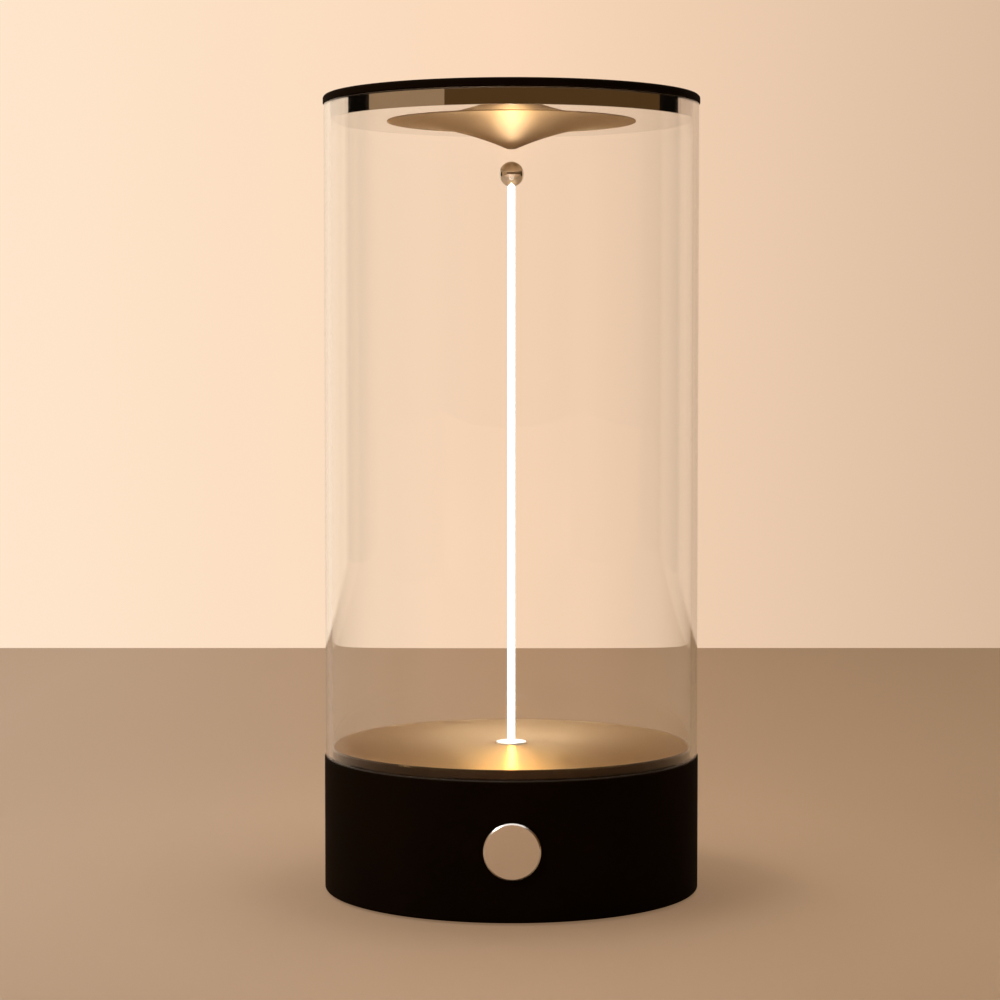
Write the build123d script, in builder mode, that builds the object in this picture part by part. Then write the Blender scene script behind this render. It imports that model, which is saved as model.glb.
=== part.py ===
"""Cordless table lamp: a glowing rod stands in a glass tube on a round base and is
held upright by a magnet in the horn above it. Millimetres, the table at z = 0,
the button at the front (-Y) and the charging socket at the back (+Y)."""

import os
from math import sqrt

from build123d import *

os.makedirs("parts", exist_ok=True)

# Overall sizes
base_diameter = 120.0
rim_height = 43.4
tube_length = 207.0
gasket_thickness = 0.4
lid_thickness = 2.4
foot_proud = 0.6

# Fits and cuts
fit_clearance = 0.15
running_clearance = 0.06
thread_clearance = 0.08
board_clearance = 0.2
cut_overrun = 1.0

# Base shell
shell_wall = 3.0
ledge_thickness = 3.6
ledge_reach = 11.0
shell_rim_fillet = 0.3
shell_foot_fillet = 0.8
post_diameter = 11.0
post_inset = 5.0
post_angles = (45.0, 135.0, 235.0, 305.0)

# Bottom cover and feet
cover_thickness = 2.8
cover_clearance = 0.25
cover_edge_chamfer = 0.4
foot_diameter = 14.0
foot_inset = 15.0
foot_count = 4
foot_recess = 1.0
foot_edge_fillet = 0.3

# Three sizes of screw
m3_diameter = 3.0
m3_head_diameter = 5.4
m3_head_height = 1.7
m25_diameter = 2.5
m25_head_diameter = 4.6
m25_head_height = 1.5
m2_diameter = 2.0
m2_head_diameter = 3.8
m2_head_height = 1.3
socket_share = 0.5
socket_depth_share = 0.6
head_round_share = 0.3
counterbore_clearance = 0.3
counterbore_depth = 1.8
cover_screw_length = 10.0
deck_screw_length = 5.8
deck_screw_count = 4
ballast_screw_length = 4.6
cradle_screw_length = 4.6
board_screw_length = 5.6
bracket_screw_length = 5.6
horn_screw_length = 5.3
tap_overrun = 0.4

# Ballast
ballast_gap = 3.0
ballast_thickness = 3.0
ballast_post_gap = 1.0
ballast_edge_chamfer = 0.6
ballast_screw_inset = 10.0
ballast_screw_count = 2
ballast_screw_start_angle = 255.0
ballast_screw_arc = 30.0

# Battery and its cradle
cell_diameter = 18.4
cell_length = 65.0
cell_edge_fillet = 0.8
cell_spacing = 20.4
cell_tip_diameter = 6.0
cell_tip_height = 0.7
cell_trough_clearance = 0.2
strip_thickness = 0.3
strip_width = 8.0
strip_margin = 3.0
cradle_floor = 1.2
cradle_wall = 2.0
cradle_height = 11.0
cradle_tab_length = 8.0
cradle_tab_width = 14.0
cradle_tab_thickness = 2.0
cradle_corner_fillet = 1.5

# Main board with its charging socket
board_thickness = 1.6
board_width = 42.0
board_depth = 24.0
board_gap = 2.0
board_tongue_width = 14.0
board_tongue_gap = 0.7
board_screw_inset_x = 4.0
board_screw_inset_y = 4.0
standoff_diameter = 6.0
port_height = 14.0
port_width = 8.94
port_shell_height = 3.26
port_shell_wall = 0.3
port_length = 7.5
port_set_back = 0.8
port_slot_clearance = 0.3
port_tongue_width = 6.7
port_tongue_thickness = 0.7
port_tongue_set_back = 0.7
port_floor = 1.2
chip_size = 6.0
chip_height = 1.0
chip_spacing = 10.0
chip_row_inset = 15.5
inductor_size = 7.0
inductor_height = 3.6
inductor_chamfer = 1.2
inductor_x = 12.0
inductor_inset = 13.0
lead_socket_width = 7.0
lead_socket_depth = 4.5
lead_socket_height = 5.0
lead_socket_inset = 4.5
lead_socket_pitch = 11.0
lead_socket_hole_depth = 2.0

# Button and its switch
button_diameter = 17.4
button_rise = 0.4
button_proud = 0.8
button_thickness = 3.2
button_edge_chamfer = 0.45
button_clearance = 0.3
button_travel = 1.0
stem_diameter = 5.0
stem_overhang = 3.0
clip_diameter = 8.4
clip_thickness = 0.6
clip_groove_depth = 0.5
clip_gap = 0.1
clip_mouth_width = 3.0
bracket_gap = 0.7
guide_thickness = 3.0
bracket_width = 40.0
bracket_height = 14.0
bracket_corner_radius = 2.0
bracket_screw_spacing = 31.0
boss_width = 8.0
arm_thickness = 2.6
arm_spacing = 19.2
arm_length = 10.0
groove_floor = 1.5
groove_depth = 1.0
switch_size = 6.0
switch_thickness = 3.4
switch_corner_fillet = 0.5
plunger_diameter = 3.4
plunger_length = 2.6
plunger_reach = 1.4
plunger_recess_clearance = 0.1
plunger_recess_spare = 0.2
switch_board_thickness = 1.2
switch_board_height = 12.0

# Deck and the rod's foot
deck_rise = 3.4
deck_chamfer = 0.5
deck_spigot_depth = 2.4
collar_flange_diameter = 9.6
collar_flange_thickness = 0.6
collar_flange_fillet = 0.2
collar_shank_diameter = 7.8
collar_length = 9.4
collar_bore_diameter = 4.0
collar_pocket_diameter = 5.8
collar_shoulder_depth = 5.4
nut_width = 11.0
nut_height = 3.2
nut_chamfer = 0.4

# Rod and ball
rod_diameter = 2.8
rod_foot_drop = 8.4
ferrule_diameter = 4.4
ferrule_length = 3.4
ferrule_drop = 0.4
strip_light_width = 1.4
strip_light_thickness = 0.6
strip_light_end = 1.0
ball_diameter = 8.0
ball_socket_depth = 3.6
ball_gap = 4.0

# Head of the lamp
plug_rise = 5.5
plug_edge_fillet = 0.1
horn_diameter = 79.2
horn_drop = 8.6
horn_edge = 0.15
horn_tip_diameter = 2.8
horn_curve_radius = 100.0
magnet_diameter = 10.0
magnet_thickness = 5.0
magnet_edge_fillet = 0.4
magnet_pocket_spare = 0.2
horn_screw_circle_diameter = 23.0
horn_screw_count = 3
lid_edge_fillet = 1.0
tape_margin = 0.6
tape_width = 24.0
gasket_margin = 0.1

# Glass tube
tube_inset = 0.3
tube_wall = 2.0
tube_edge_fillet = 0.2

# Leads
lead_diameter = 1.2
lead_pitch = 2.4
lead_bend_share = 0.45
lead_drop = 3.0
switch_lead_drop = 3.0
battery_lead_rise = 2.0
battery_lead_gap = 1.8

# Values that follow from the ones above
base_radius = base_diameter / 2
shell_inner_radius = base_radius - shell_wall
ledge_opening_radius = shell_inner_radius - ledge_reach
ledge_bottom = rim_height - ledge_thickness
cover_top = foot_proud + cover_thickness
ballast_radius = shell_inner_radius - ballast_gap
ballast_top = cover_top + ballast_thickness
tube_outer_radius = base_radius - tube_inset
tube_inner_radius = tube_outer_radius - tube_wall
tube_bottom = rim_height + gasket_thickness
tube_top = tube_bottom + tube_length
lid_bottom = tube_top + gasket_thickness
plug_radius = tube_inner_radius - fit_clearance
plug_bottom = lid_bottom - plug_rise
plug_top = lid_bottom - gasket_thickness
plug_screw_seat = plug_top - counterbore_depth
horn_screw_grip = plug_screw_seat - plug_bottom
deck_top = rim_height + deck_rise
deck_bottom = rim_height - deck_spigot_depth
horn_tip = plug_bottom - horn_drop
ball_centre = horn_tip - ball_gap - ball_diameter / 2
ball_bottom = ball_centre - ball_diameter / 2
rod_bottom = deck_top - rod_foot_drop
rod_top = ball_bottom + ball_socket_depth
collar_shoulder = deck_top - collar_shoulder_depth
ferrule_top = collar_shoulder - ferrule_drop
ferrule_bottom = ferrule_top - ferrule_length
cell_centre_height = ballast_top + cradle_floor + cell_diameter / 2
cradle_length = cell_length + 2 * (cell_tip_height + strip_thickness + cell_trough_clearance + cradle_wall)
cradle_width = cell_spacing + cell_diameter + 2 * cradle_wall
button_height = (rim_height + foot_proud) / 2 + button_rise
bracket_reach = shell_inner_radius - bracket_gap
guide_depth = base_radius - sqrt(bracket_reach**2 - (bracket_width / 2) ** 2)
guide_end_depth = guide_depth + guide_thickness
stem_end_depth = guide_end_depth + stem_overhang
bracket_end = guide_end_depth + arm_length - base_radius
board_reach = shell_inner_radius - board_gap
board_tongue_reach = shell_inner_radius - board_tongue_gap
board_back = sqrt(board_reach**2 - (board_width / 2) ** 2)
board_front = board_back - board_depth
board_tongue_back = sqrt(board_tongue_reach**2 - (board_tongue_width / 2) ** 2)
board_screw_x = board_width / 2 - board_screw_inset_x
board_screw_front = board_front + board_screw_inset_y
board_screw_back = board_back - board_screw_inset_y
chip_row_back = board_front + chip_row_inset
inductor_back = board_front + inductor_inset
lead_socket_back = board_front + lead_socket_inset
ballast_back_edge = board_front - ballast_gap
cell_middle = (bracket_end + board_front) / 2
lead_run_height = ferrule_bottom - lead_drop
strip_slot = cell_tip_height + strip_thickness + 2 * cell_trough_clearance
cradle_screw_x = cradle_length / 2 + cradle_tab_length / 2
board_top = port_height - port_shell_height / 2
board_bottom = board_top - board_thickness
port_mouth = base_radius - port_set_back
switch_face_depth = stem_end_depth + plunger_reach
switch_board_depth = switch_face_depth + switch_thickness
switch_board_width = arm_spacing - arm_thickness + 2 * (groove_depth - board_clearance)
lead_socket_top = board_top + lead_socket_height
plunger_recess_radius = plunger_diameter / 2 + plunger_recess_clearance
lead_socket_hole_radius = lead_diameter / 2 + board_clearance
battery_lead_height = cell_centre_height + strip_width / 2 - lead_diameter / 2
battery_run_height = battery_lead_height + battery_lead_rise
battery_lead_side = cradle_length / 2 + battery_lead_gap
battery_lead_back = (cell_middle + cradle_width / 2 + board_front) / 2

# Planes looking in at the button from the front and out at the charging socket
button_plane = Plane(origin=(0, -base_radius, button_height), x_dir=(1, 0, 0), z_dir=(0, 1, 0))
port_plane = Plane(origin=(0, port_mouth, port_height), x_dir=(1, 0, 0), z_dir=(0, -1, 0))


def turned(*points):
    """Face of a closed outline of (radius, height) points, ready to revolve about Z."""
    with BuildSketch(Plane.XZ) as section:
        with BuildLine():
            Polyline(*points, close=True)
        make_face()
    return section.sketch


def ring(inner_radius, outer_radius, bottom, top):
    """Face of a plain ring's section."""
    return turned((inner_radius, bottom), (outer_radius, bottom), (outer_radius, top), (inner_radius, top))


def screw(diameter, head_diameter, head_height, length):
    """Screw with a hexagon socket, its head's seat at the origin and its shank along -Z."""
    with BuildPart() as made:
        with BuildSketch():
            Circle(head_diameter / 2)
        extrude(amount=head_height)
        fillet(made.edges().group_by(Axis.Z)[-1], head_height * head_round_share)
        with BuildSketch():
            Circle(diameter / 2)
        extrude(amount=-length)
        with BuildSketch(Plane.XY.offset(head_height)):
            RegularPolygon(head_diameter / 2 * socket_share, 6)
        extrude(amount=-head_height * socket_depth_share, mode=Mode.SUBTRACT)
    return made.part


def lead(*points):
    """Insulated lead along straight runs and tangent bends through the given points."""
    corners = [Vector(*point) for point in points]
    radii = []
    for before, here, after in zip(corners, corners[1:], corners[2:]):
        shorter = min((here - before).length, (after - here).length)
        radii.append(shorter * lead_bend_share)
    with BuildPart() as made:
        with BuildLine() as path:
            FilletPolyline(*corners, radius=radii)
        with BuildSketch(Plane(origin=path.line @ 0, z_dir=path.line % 0)):
            Circle(lead_diameter / 2)
        sweep(path=path.line)
    return made.part


m3_hole_radius = m3_diameter / 2 + thread_clearance
m25_hole_radius = m25_diameter / 2 + thread_clearance
m2_hole_radius = m2_diameter / 2 + thread_clearance
deck_hole_radius = collar_shank_diameter / 2 + running_clearance
post_radius = shell_inner_radius - post_inset
post_points = [Vector(post_radius, 0).rotate(Axis.Z, angle) for angle in post_angles]
foot_spots = (shell_inner_radius - foot_inset, foot_count)
deck_screw_spots = (shell_inner_radius - ledge_reach / 2, deck_screw_count)
horn_screw_spots = (horn_screw_circle_diameter / 2, horn_screw_count)
ballast_screw_spots = (
    ballast_radius - ballast_screw_inset,
    ballast_screw_count,
    ballast_screw_start_angle,
    ballast_screw_arc,
    True,
    True,
)
cradle_screw_points = [(-cradle_screw_x, cell_middle), (cradle_screw_x, cell_middle)]
board_screw_points = [
    (-board_screw_x, board_screw_front),
    (board_screw_x, board_screw_front),
    (-board_screw_x, board_screw_back),
    (board_screw_x, board_screw_back),
]
bracket_screw_points = [(-bracket_screw_spacing / 2, 0), (bracket_screw_spacing / 2, 0)]
lead_socket_points = [
    (-lead_socket_pitch, lead_socket_back),
    (0, lead_socket_back),
    (lead_socket_pitch, lead_socket_back),
]
lead_hole_points = []
for socket_x, socket_y in lead_socket_points:
    lead_hole_points.append((socket_x - lead_pitch / 2, socket_y))
    lead_hole_points.append((socket_x + lead_pitch / 2, socket_y))

# Base shell: bosses for the bracket are trimmed to the wall before the wall is added
with BuildPart() as base_shell:
    with BuildSketch(button_plane.offset(guide_depth)):
        with Locations(*bracket_screw_points):
            Rectangle(boss_width, bracket_height)
    extrude(amount=-guide_depth)
    with BuildSketch(Plane.XY):
        Circle(base_radius - shell_wall / 2)
    extrude(amount=rim_height, mode=Mode.INTERSECT)
    revolve(
        turned(
            (shell_inner_radius, foot_proud),
            (base_radius, foot_proud),
            (base_radius, rim_height),
            (ledge_opening_radius, rim_height),
            (ledge_opening_radius, ledge_bottom),
            (shell_inner_radius, ledge_bottom),
        ),
        axis=Axis.Z,
    )
    rounds = base_shell.edges().filter_by(GeomType.CIRCLE)
    fillet(rounds.group_by(Axis.Z)[-1].sort_by(SortBy.RADIUS)[-1], shell_rim_fillet)
    rounds = base_shell.edges().filter_by(GeomType.CIRCLE)
    fillet(rounds.group_by(Axis.Z)[0].sort_by(SortBy.RADIUS)[-1], shell_foot_fillet)
    with BuildSketch(Plane.XY.offset(cover_top)):
        with Locations(*post_points):
            Circle(post_diameter / 2)
    extrude(amount=ledge_bottom - cover_top)
    with BuildSketch(Plane.XY.offset(cover_top)):
        with Locations(*post_points):
            Circle(m3_hole_radius)
    extrude(amount=cover_screw_length + tap_overrun - cover_thickness + counterbore_depth, mode=Mode.SUBTRACT)
    with BuildSketch(Plane.XY.offset(ledge_bottom)):
        with PolarLocations(*deck_screw_spots):
            Circle(m25_hole_radius)
    extrude(amount=ledge_thickness, mode=Mode.SUBTRACT)
    with BuildSketch(button_plane.offset(-cut_overrun)):
        Circle(button_diameter / 2 + button_clearance)
    extrude(amount=guide_depth + cut_overrun, mode=Mode.SUBTRACT)
    with BuildSketch(button_plane.offset(guide_depth)):
        with Locations(*bracket_screw_points):
            Circle(m25_hole_radius)
    extrude(amount=guide_thickness - bracket_screw_length - tap_overrun, mode=Mode.SUBTRACT)
    with BuildSketch(port_plane.offset(-port_set_back - cut_overrun)):
        SlotOverall(port_width + 2 * port_slot_clearance, port_shell_height + 2 * port_slot_clearance)
    extrude(amount=port_length, mode=Mode.SUBTRACT)

# Bottom cover with the board's standoffs on it
with BuildPart() as bottom_cover:
    with BuildSketch(Plane.XY.offset(foot_proud)):
        Circle(shell_inner_radius - cover_clearance)
    extrude(amount=cover_thickness)
    chamfer(bottom_cover.edges().group_by(Axis.Z)[0], cover_edge_chamfer)
    with BuildSketch(Plane.XY.offset(cover_top)):
        with Locations(*board_screw_points):
            Circle(standoff_diameter / 2)
    extrude(amount=board_bottom - cover_top)
    with BuildSketch(Plane.XY.offset(foot_proud)):
        with PolarLocations(*foot_spots):
            Circle(foot_diameter / 2 + fit_clearance)
    extrude(amount=foot_recess, mode=Mode.SUBTRACT)
    with BuildSketch(Plane.XY.offset(foot_proud)):
        with Locations(*post_points):
            Circle(m3_head_diameter / 2 + counterbore_clearance)
    extrude(amount=counterbore_depth, mode=Mode.SUBTRACT)
    with BuildSketch(Plane.XY.offset(foot_proud)):
        with Locations(*post_points):
            Circle(m3_hole_radius)
    extrude(amount=cover_thickness, mode=Mode.SUBTRACT)
    with BuildSketch(Plane.XY.offset(board_bottom)):
        with Locations(*board_screw_points):
            Circle(m2_hole_radius)
    extrude(amount=board_thickness - board_screw_length - tap_overrun, mode=Mode.SUBTRACT)
    with BuildSketch(Plane.XY.offset(cover_top)):
        with PolarLocations(*ballast_screw_spots):
            Circle(m3_hole_radius)
    extrude(amount=ballast_thickness - ballast_screw_length - tap_overrun, mode=Mode.SUBTRACT)

with BuildPart() as foot_pads:
    with BuildSketch(Plane.XY):
        with PolarLocations(*foot_spots):
            Circle(foot_diameter / 2)
    extrude(amount=foot_proud + foot_recess)
    fillet(foot_pads.edges().group_by(Axis.Z)[0], foot_edge_fillet)

with BuildPart() as cover_screws:
    with Locations((0, 0, foot_proud + counterbore_depth)):
        with Locations(*post_points):
            add(
                screw(m3_diameter, m3_head_diameter, m3_head_height, cover_screw_length),
                rotation=(180, 0, 0),
            )

# Ballast plate, cut straight at the back to leave room for the board
with BuildPart() as ballast_plate:
    with BuildSketch(Plane.XY.offset(cover_top)):
        Circle(ballast_radius)
        with Locations((0, ballast_back_edge)):
            Rectangle(base_diameter, base_diameter, align=(Align.CENTER, Align.MIN), mode=Mode.SUBTRACT)
        with Locations(*post_points):
            Circle(post_diameter / 2 + ballast_post_gap, mode=Mode.SUBTRACT)
    extrude(amount=ballast_thickness)
    chamfer(ballast_plate.edges().group_by(Axis.Z)[-1], ballast_edge_chamfer)
    with BuildSketch(Plane.XY.offset(cover_top)):
        with PolarLocations(*ballast_screw_spots):
            Circle(m3_hole_radius)
        with Locations(*cradle_screw_points):
            Circle(m3_hole_radius)
    extrude(amount=ballast_thickness, mode=Mode.SUBTRACT)

with BuildPart() as ballast_screws:
    with Locations((0, 0, ballast_top)):
        with PolarLocations(*ballast_screw_spots):
            add(screw(m3_diameter, m3_head_diameter, m3_head_height, ballast_screw_length))

# Cradle: a block with two troughs and a tab at each end
with BuildPart() as battery_cradle:
    with BuildSketch(Plane.XY.offset(ballast_top)):
        with Locations((0, cell_middle)):
            RectangleRounded(cradle_length, cradle_width, cradle_corner_fillet)
    extrude(amount=cradle_height)
    with BuildSketch(Plane.XY.offset(ballast_top)):
        with Locations((0, cell_middle)):
            RectangleRounded(cradle_length + 2 * cradle_tab_length, cradle_tab_width, cradle_corner_fillet)
    extrude(amount=cradle_tab_thickness)
    with BuildSketch(Plane.YZ.offset(cradle_wall - cradle_length / 2)):
        with Locations((cell_middle, cell_centre_height)):
            with GridLocations(cell_spacing, 0, 2, 1):
                Circle(cell_diameter / 2 + cell_trough_clearance)
    extrude(amount=cradle_length - 2 * cradle_wall, mode=Mode.SUBTRACT)
    with BuildSketch(Plane.YZ.offset(cradle_wall - cradle_length / 2)):
        with Locations((cell_middle, cell_centre_height)):
            Rectangle(cell_spacing + cell_diameter / 2, cell_diameter / 2)
    extrude(amount=strip_slot, mode=Mode.SUBTRACT)
    with BuildSketch(Plane.YZ.offset(cradle_length / 2 - cradle_wall)):
        with Locations((cell_middle, cell_centre_height)):
            Rectangle(cell_spacing + cell_diameter / 2, cell_diameter / 2)
    extrude(amount=-strip_slot, mode=Mode.SUBTRACT)
    with BuildSketch(Plane.XY.offset(ballast_top)):
        with Locations(*cradle_screw_points):
            Circle(m3_hole_radius)
    extrude(amount=cradle_tab_thickness, mode=Mode.SUBTRACT)

with BuildPart() as cradle_screws:
    with Locations((0, 0, ballast_top + cradle_tab_thickness)):
        with Locations(*cradle_screw_points):
            add(screw(m3_diameter, m3_head_diameter, m3_head_height, cradle_screw_length))

with BuildPart() as battery_cells:
    with BuildSketch(Plane.YZ.offset(-cell_length / 2)):
        with Locations((cell_middle, cell_centre_height)):
            with GridLocations(cell_spacing, 0, 2, 1):
                Circle(cell_diameter / 2)
    extrude(amount=cell_length)
    fillet(battery_cells.edges().filter_by(GeomType.CIRCLE), cell_edge_fillet)
    with BuildSketch(Plane.YZ.offset(cell_length / 2)):
        with Locations((cell_middle, cell_centre_height)):
            with GridLocations(cell_spacing, 0, 2, 1):
                Circle(cell_tip_diameter / 2)
    extrude(amount=cell_tip_height)

# Nickel strips joining the cells: one on the plus tips, one on the minus ends
strip_reach = cell_spacing + 2 * strip_margin
with BuildPart() as cell_strips:
    with BuildSketch(Plane.YZ.offset(cell_length / 2 + cell_tip_height)):
        with Locations((cell_middle, cell_centre_height)):
            Rectangle(strip_reach, strip_width)
    extrude(amount=strip_thickness)
    with BuildSketch(Plane.YZ.offset(-cell_length / 2)):
        with Locations((cell_middle, cell_centre_height)):
            Rectangle(strip_reach, strip_width)
    extrude(amount=-strip_thickness)

# Main board with a tongue under the charging socket
with BuildPart() as main_board:
    with BuildSketch(Plane.XY.offset(board_bottom)):
        with Locations((0, board_front)):
            Rectangle(board_width, board_back - board_front, align=(Align.CENTER, Align.MIN))
        with Locations((0, board_back)):
            Rectangle(board_tongue_width, board_tongue_back - board_back, align=(Align.CENTER, Align.MIN))
        with Locations(*board_screw_points):
            Circle(m2_hole_radius, mode=Mode.SUBTRACT)
    extrude(amount=board_thickness)

with BuildPart() as board_screws:
    with Locations((0, 0, board_top)):
        with Locations(*board_screw_points):
            add(screw(m2_diameter, m2_head_diameter, m2_head_height, board_screw_length))

with BuildPart() as driver_chips:
    with BuildSketch(Plane.XY.offset(board_top)):
        with Locations((-chip_spacing, chip_row_back), (0, chip_row_back)):
            Rectangle(chip_size, chip_size)
    extrude(amount=chip_height)

with BuildPart() as power_inductor:
    with BuildSketch(Plane.XY.offset(board_top)):
        with Locations((inductor_x, inductor_back)):
            Rectangle(inductor_size, inductor_size)
    extrude(amount=inductor_height)
    chamfer(power_inductor.edges().filter_by(Axis.Z), inductor_chamfer)

with BuildPart() as lead_sockets:
    with BuildSketch(Plane.XY.offset(board_top)):
        with Locations(*lead_socket_points):
            Rectangle(lead_socket_width, lead_socket_depth)
    extrude(amount=lead_socket_height)
    with BuildSketch(Plane.XY.offset(lead_socket_top)):
        with Locations(*lead_hole_points):
            Circle(lead_socket_hole_radius)
    extrude(amount=-lead_socket_hole_depth, mode=Mode.SUBTRACT)

# Charging socket: a folded shell with a contact tongue inside
with BuildPart() as usb_socket:
    with BuildSketch(port_plane):
        SlotOverall(port_width, port_shell_height)
    extrude(amount=port_length)
    with BuildSketch(port_plane):
        SlotOverall(port_width - 2 * port_shell_wall, port_shell_height - 2 * port_shell_wall)
    extrude(amount=port_length - port_floor, mode=Mode.SUBTRACT)
    with BuildSketch(port_plane.offset(port_tongue_set_back)):
        Rectangle(port_tongue_width, port_tongue_thickness)
    extrude(amount=port_length - port_floor - port_tongue_set_back)

# Bracket that guides the button's stem and holds the switch
with BuildPart() as switch_bracket:
    with BuildSketch(button_plane.offset(guide_depth)):
        RectangleRounded(bracket_width, bracket_height, bracket_corner_radius)
        Circle(stem_diameter / 2 + running_clearance, mode=Mode.SUBTRACT)
        with Locations(*bracket_screw_points):
            Circle(m25_hole_radius, mode=Mode.SUBTRACT)
    extrude(amount=guide_thickness)
    with BuildSketch(button_plane.offset(guide_end_depth)):
        with GridLocations(arm_spacing, 0, 2, 1):
            Rectangle(arm_thickness, bracket_height)
    extrude(amount=arm_length)
    with BuildSketch(button_plane.offset(switch_board_depth - board_clearance)):
        with Locations((0, -groove_floor)):
            Rectangle(switch_board_width + 2 * board_clearance, bracket_height)
    extrude(amount=switch_board_thickness + 2 * board_clearance, mode=Mode.SUBTRACT)

with BuildPart() as bracket_screws:
    bracket_seat = button_plane.offset(guide_end_depth)
    with Locations(bracket_seat):
        with Locations(*bracket_screw_points):
            add(screw(m25_diameter, m25_head_diameter, m25_head_height, bracket_screw_length))

switch_board_shift = bracket_height / 2 - groove_floor - switch_board_height / 2
with BuildPart() as switch_board:
    with BuildSketch(button_plane.offset(switch_board_depth)):
        with Locations((0, switch_board_shift)):
            Rectangle(switch_board_width, switch_board_height)
    extrude(amount=switch_board_thickness)

with BuildPart() as tact_switch:
    with BuildSketch(button_plane.offset(switch_face_depth)):
        RectangleRounded(switch_size, switch_size, switch_corner_fillet)
    extrude(amount=switch_thickness)
    with BuildSketch(button_plane.offset(switch_face_depth)):
        Circle(plunger_recess_radius)
    extrude(
        amount=plunger_length - plunger_reach + button_travel + plunger_recess_spare,
        mode=Mode.SUBTRACT,
    )

# Button: cap and stem, its retaining clip and the switch's plunger
with BuildPart() as button_cap:
    with BuildSketch(button_plane.offset(-button_proud)):
        Circle(button_diameter / 2)
    extrude(amount=button_thickness)
    chamfer(button_cap.edges().group_by(Axis.Y)[0], button_edge_chamfer)
    with BuildSketch(button_plane.offset(button_thickness - button_proud)):
        Circle(stem_diameter / 2)
    extrude(amount=stem_end_depth - button_thickness + button_proud)
    with BuildSketch(button_plane.offset(guide_end_depth + clip_gap)):
        Circle(stem_diameter / 2)
        Circle(stem_diameter / 2 - clip_groove_depth, mode=Mode.SUBTRACT)
    extrude(amount=clip_thickness, mode=Mode.SUBTRACT)

with BuildPart() as button_clip:
    with BuildSketch(button_plane.offset(guide_end_depth + clip_gap)):
        Circle(clip_diameter / 2)
        Circle(stem_diameter / 2 - clip_groove_depth + running_clearance, mode=Mode.SUBTRACT)
        Rectangle(
            clip_mouth_width,
            clip_diameter,
            align=(Align.CENTER, Align.MIN),
            mode=Mode.SUBTRACT,
        )
    extrude(amount=clip_thickness)

with BuildPart() as switch_plunger:
    with BuildSketch(button_plane.offset(stem_end_depth)):
        Circle(plunger_diameter / 2)
    extrude(amount=plunger_length)

# Deck: a turned disc on the shell's ledge with a spigot in the ledge's opening
with BuildPart() as deck_plate:
    revolve(
        turned(
            (deck_hole_radius, deck_bottom),
            (ledge_opening_radius - fit_clearance, deck_bottom),
            (ledge_opening_radius - fit_clearance, rim_height),
            (plug_radius, rim_height),
            (plug_radius, deck_top - deck_chamfer),
            (plug_radius - deck_chamfer, deck_top),
            (deck_hole_radius, deck_top),
        ),
        axis=Axis.Z,
    )
    with BuildSketch(Plane.XY.offset(rim_height)):
        with PolarLocations(*deck_screw_spots):
            Circle(m25_hole_radius)
    extrude(amount=deck_screw_length + tap_overrun - ledge_thickness, mode=Mode.SUBTRACT)

with BuildPart() as deck_screws:
    with Locations((0, 0, ledge_bottom)):
        with PolarLocations(*deck_screw_spots):
            add(
                screw(m25_diameter, m25_head_diameter, m25_head_height, deck_screw_length),
                rotation=(180, 0, 0),
            )

# Collar through the deck, stepped inside so that the rod can rock but not lift out
with BuildPart() as filament_collar:
    revolve(
        turned(
            (collar_pocket_diameter / 2, deck_top - collar_length),
            (collar_shank_diameter / 2, deck_top - collar_length),
            (collar_shank_diameter / 2, deck_top),
            (collar_flange_diameter / 2, deck_top),
            (collar_flange_diameter / 2, deck_top + collar_flange_thickness),
            (collar_bore_diameter / 2, deck_top + collar_flange_thickness),
            (collar_bore_diameter / 2, collar_shoulder),
            (collar_pocket_diameter / 2, collar_shoulder),
        ),
        axis=Axis.Z,
    )
    fillet(
        filament_collar.edges().group_by(Axis.Z)[-1].sort_by(SortBy.RADIUS)[-1],
        collar_flange_fillet,
    )

with BuildPart() as collar_nut:
    with BuildSketch(Plane.XY.offset(deck_bottom - nut_height)):
        RegularPolygon(nut_width / 2, 6, major_radius=False)
    extrude(amount=nut_height)
    chamfer(collar_nut.edges().group_by(Axis.Z)[0], nut_chamfer)
    with BuildSketch(Plane.XY.offset(deck_bottom - nut_height)):
        Circle(deck_hole_radius)
    extrude(amount=nut_height, mode=Mode.SUBTRACT)

# Rod: a milky sheath round a strip of light, a ferrule at its foot and a ball on its tip
with BuildPart() as filament_sheath:
    with BuildSketch(Plane.XY.offset(rod_bottom)):
        Circle(rod_diameter / 2)
    extrude(amount=rod_top - rod_bottom)
    with BuildSketch(Plane.XY.offset(rod_bottom + strip_light_end)):
        Rectangle(strip_light_width, strip_light_thickness)
    extrude(amount=rod_top - rod_bottom - 2 * strip_light_end, mode=Mode.SUBTRACT)

with BuildPart() as led_strip:
    with BuildSketch(Plane.XY.offset(rod_bottom + strip_light_end)):
        Rectangle(strip_light_width, strip_light_thickness)
    extrude(amount=rod_top - rod_bottom - 2 * strip_light_end)

with BuildPart() as filament_ferrule:
    with BuildSketch(Plane.XY.offset(ferrule_bottom)):
        Circle(ferrule_diameter / 2)
    extrude(amount=ferrule_length)
    with BuildSketch(Plane.XY.offset(rod_bottom)):
        Circle(rod_diameter / 2)
    extrude(amount=ferrule_top - rod_bottom, mode=Mode.SUBTRACT)

with BuildPart() as steel_ball:
    with Locations((0, 0, ball_centre)):
        Sphere(ball_diameter / 2)
    with BuildSketch(Plane.XY.offset(rod_top)):
        Circle(rod_diameter / 2 + running_clearance)
    extrude(amount=-ball_diameter, mode=Mode.SUBTRACT)

# Tube and the seals at its ends
with BuildPart() as glass_tube:
    revolve(ring(tube_inner_radius, tube_outer_radius, tube_bottom, tube_top), axis=Axis.Z)
    fillet(glass_tube.edges().filter_by(GeomType.CIRCLE), tube_edge_fillet)

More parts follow.
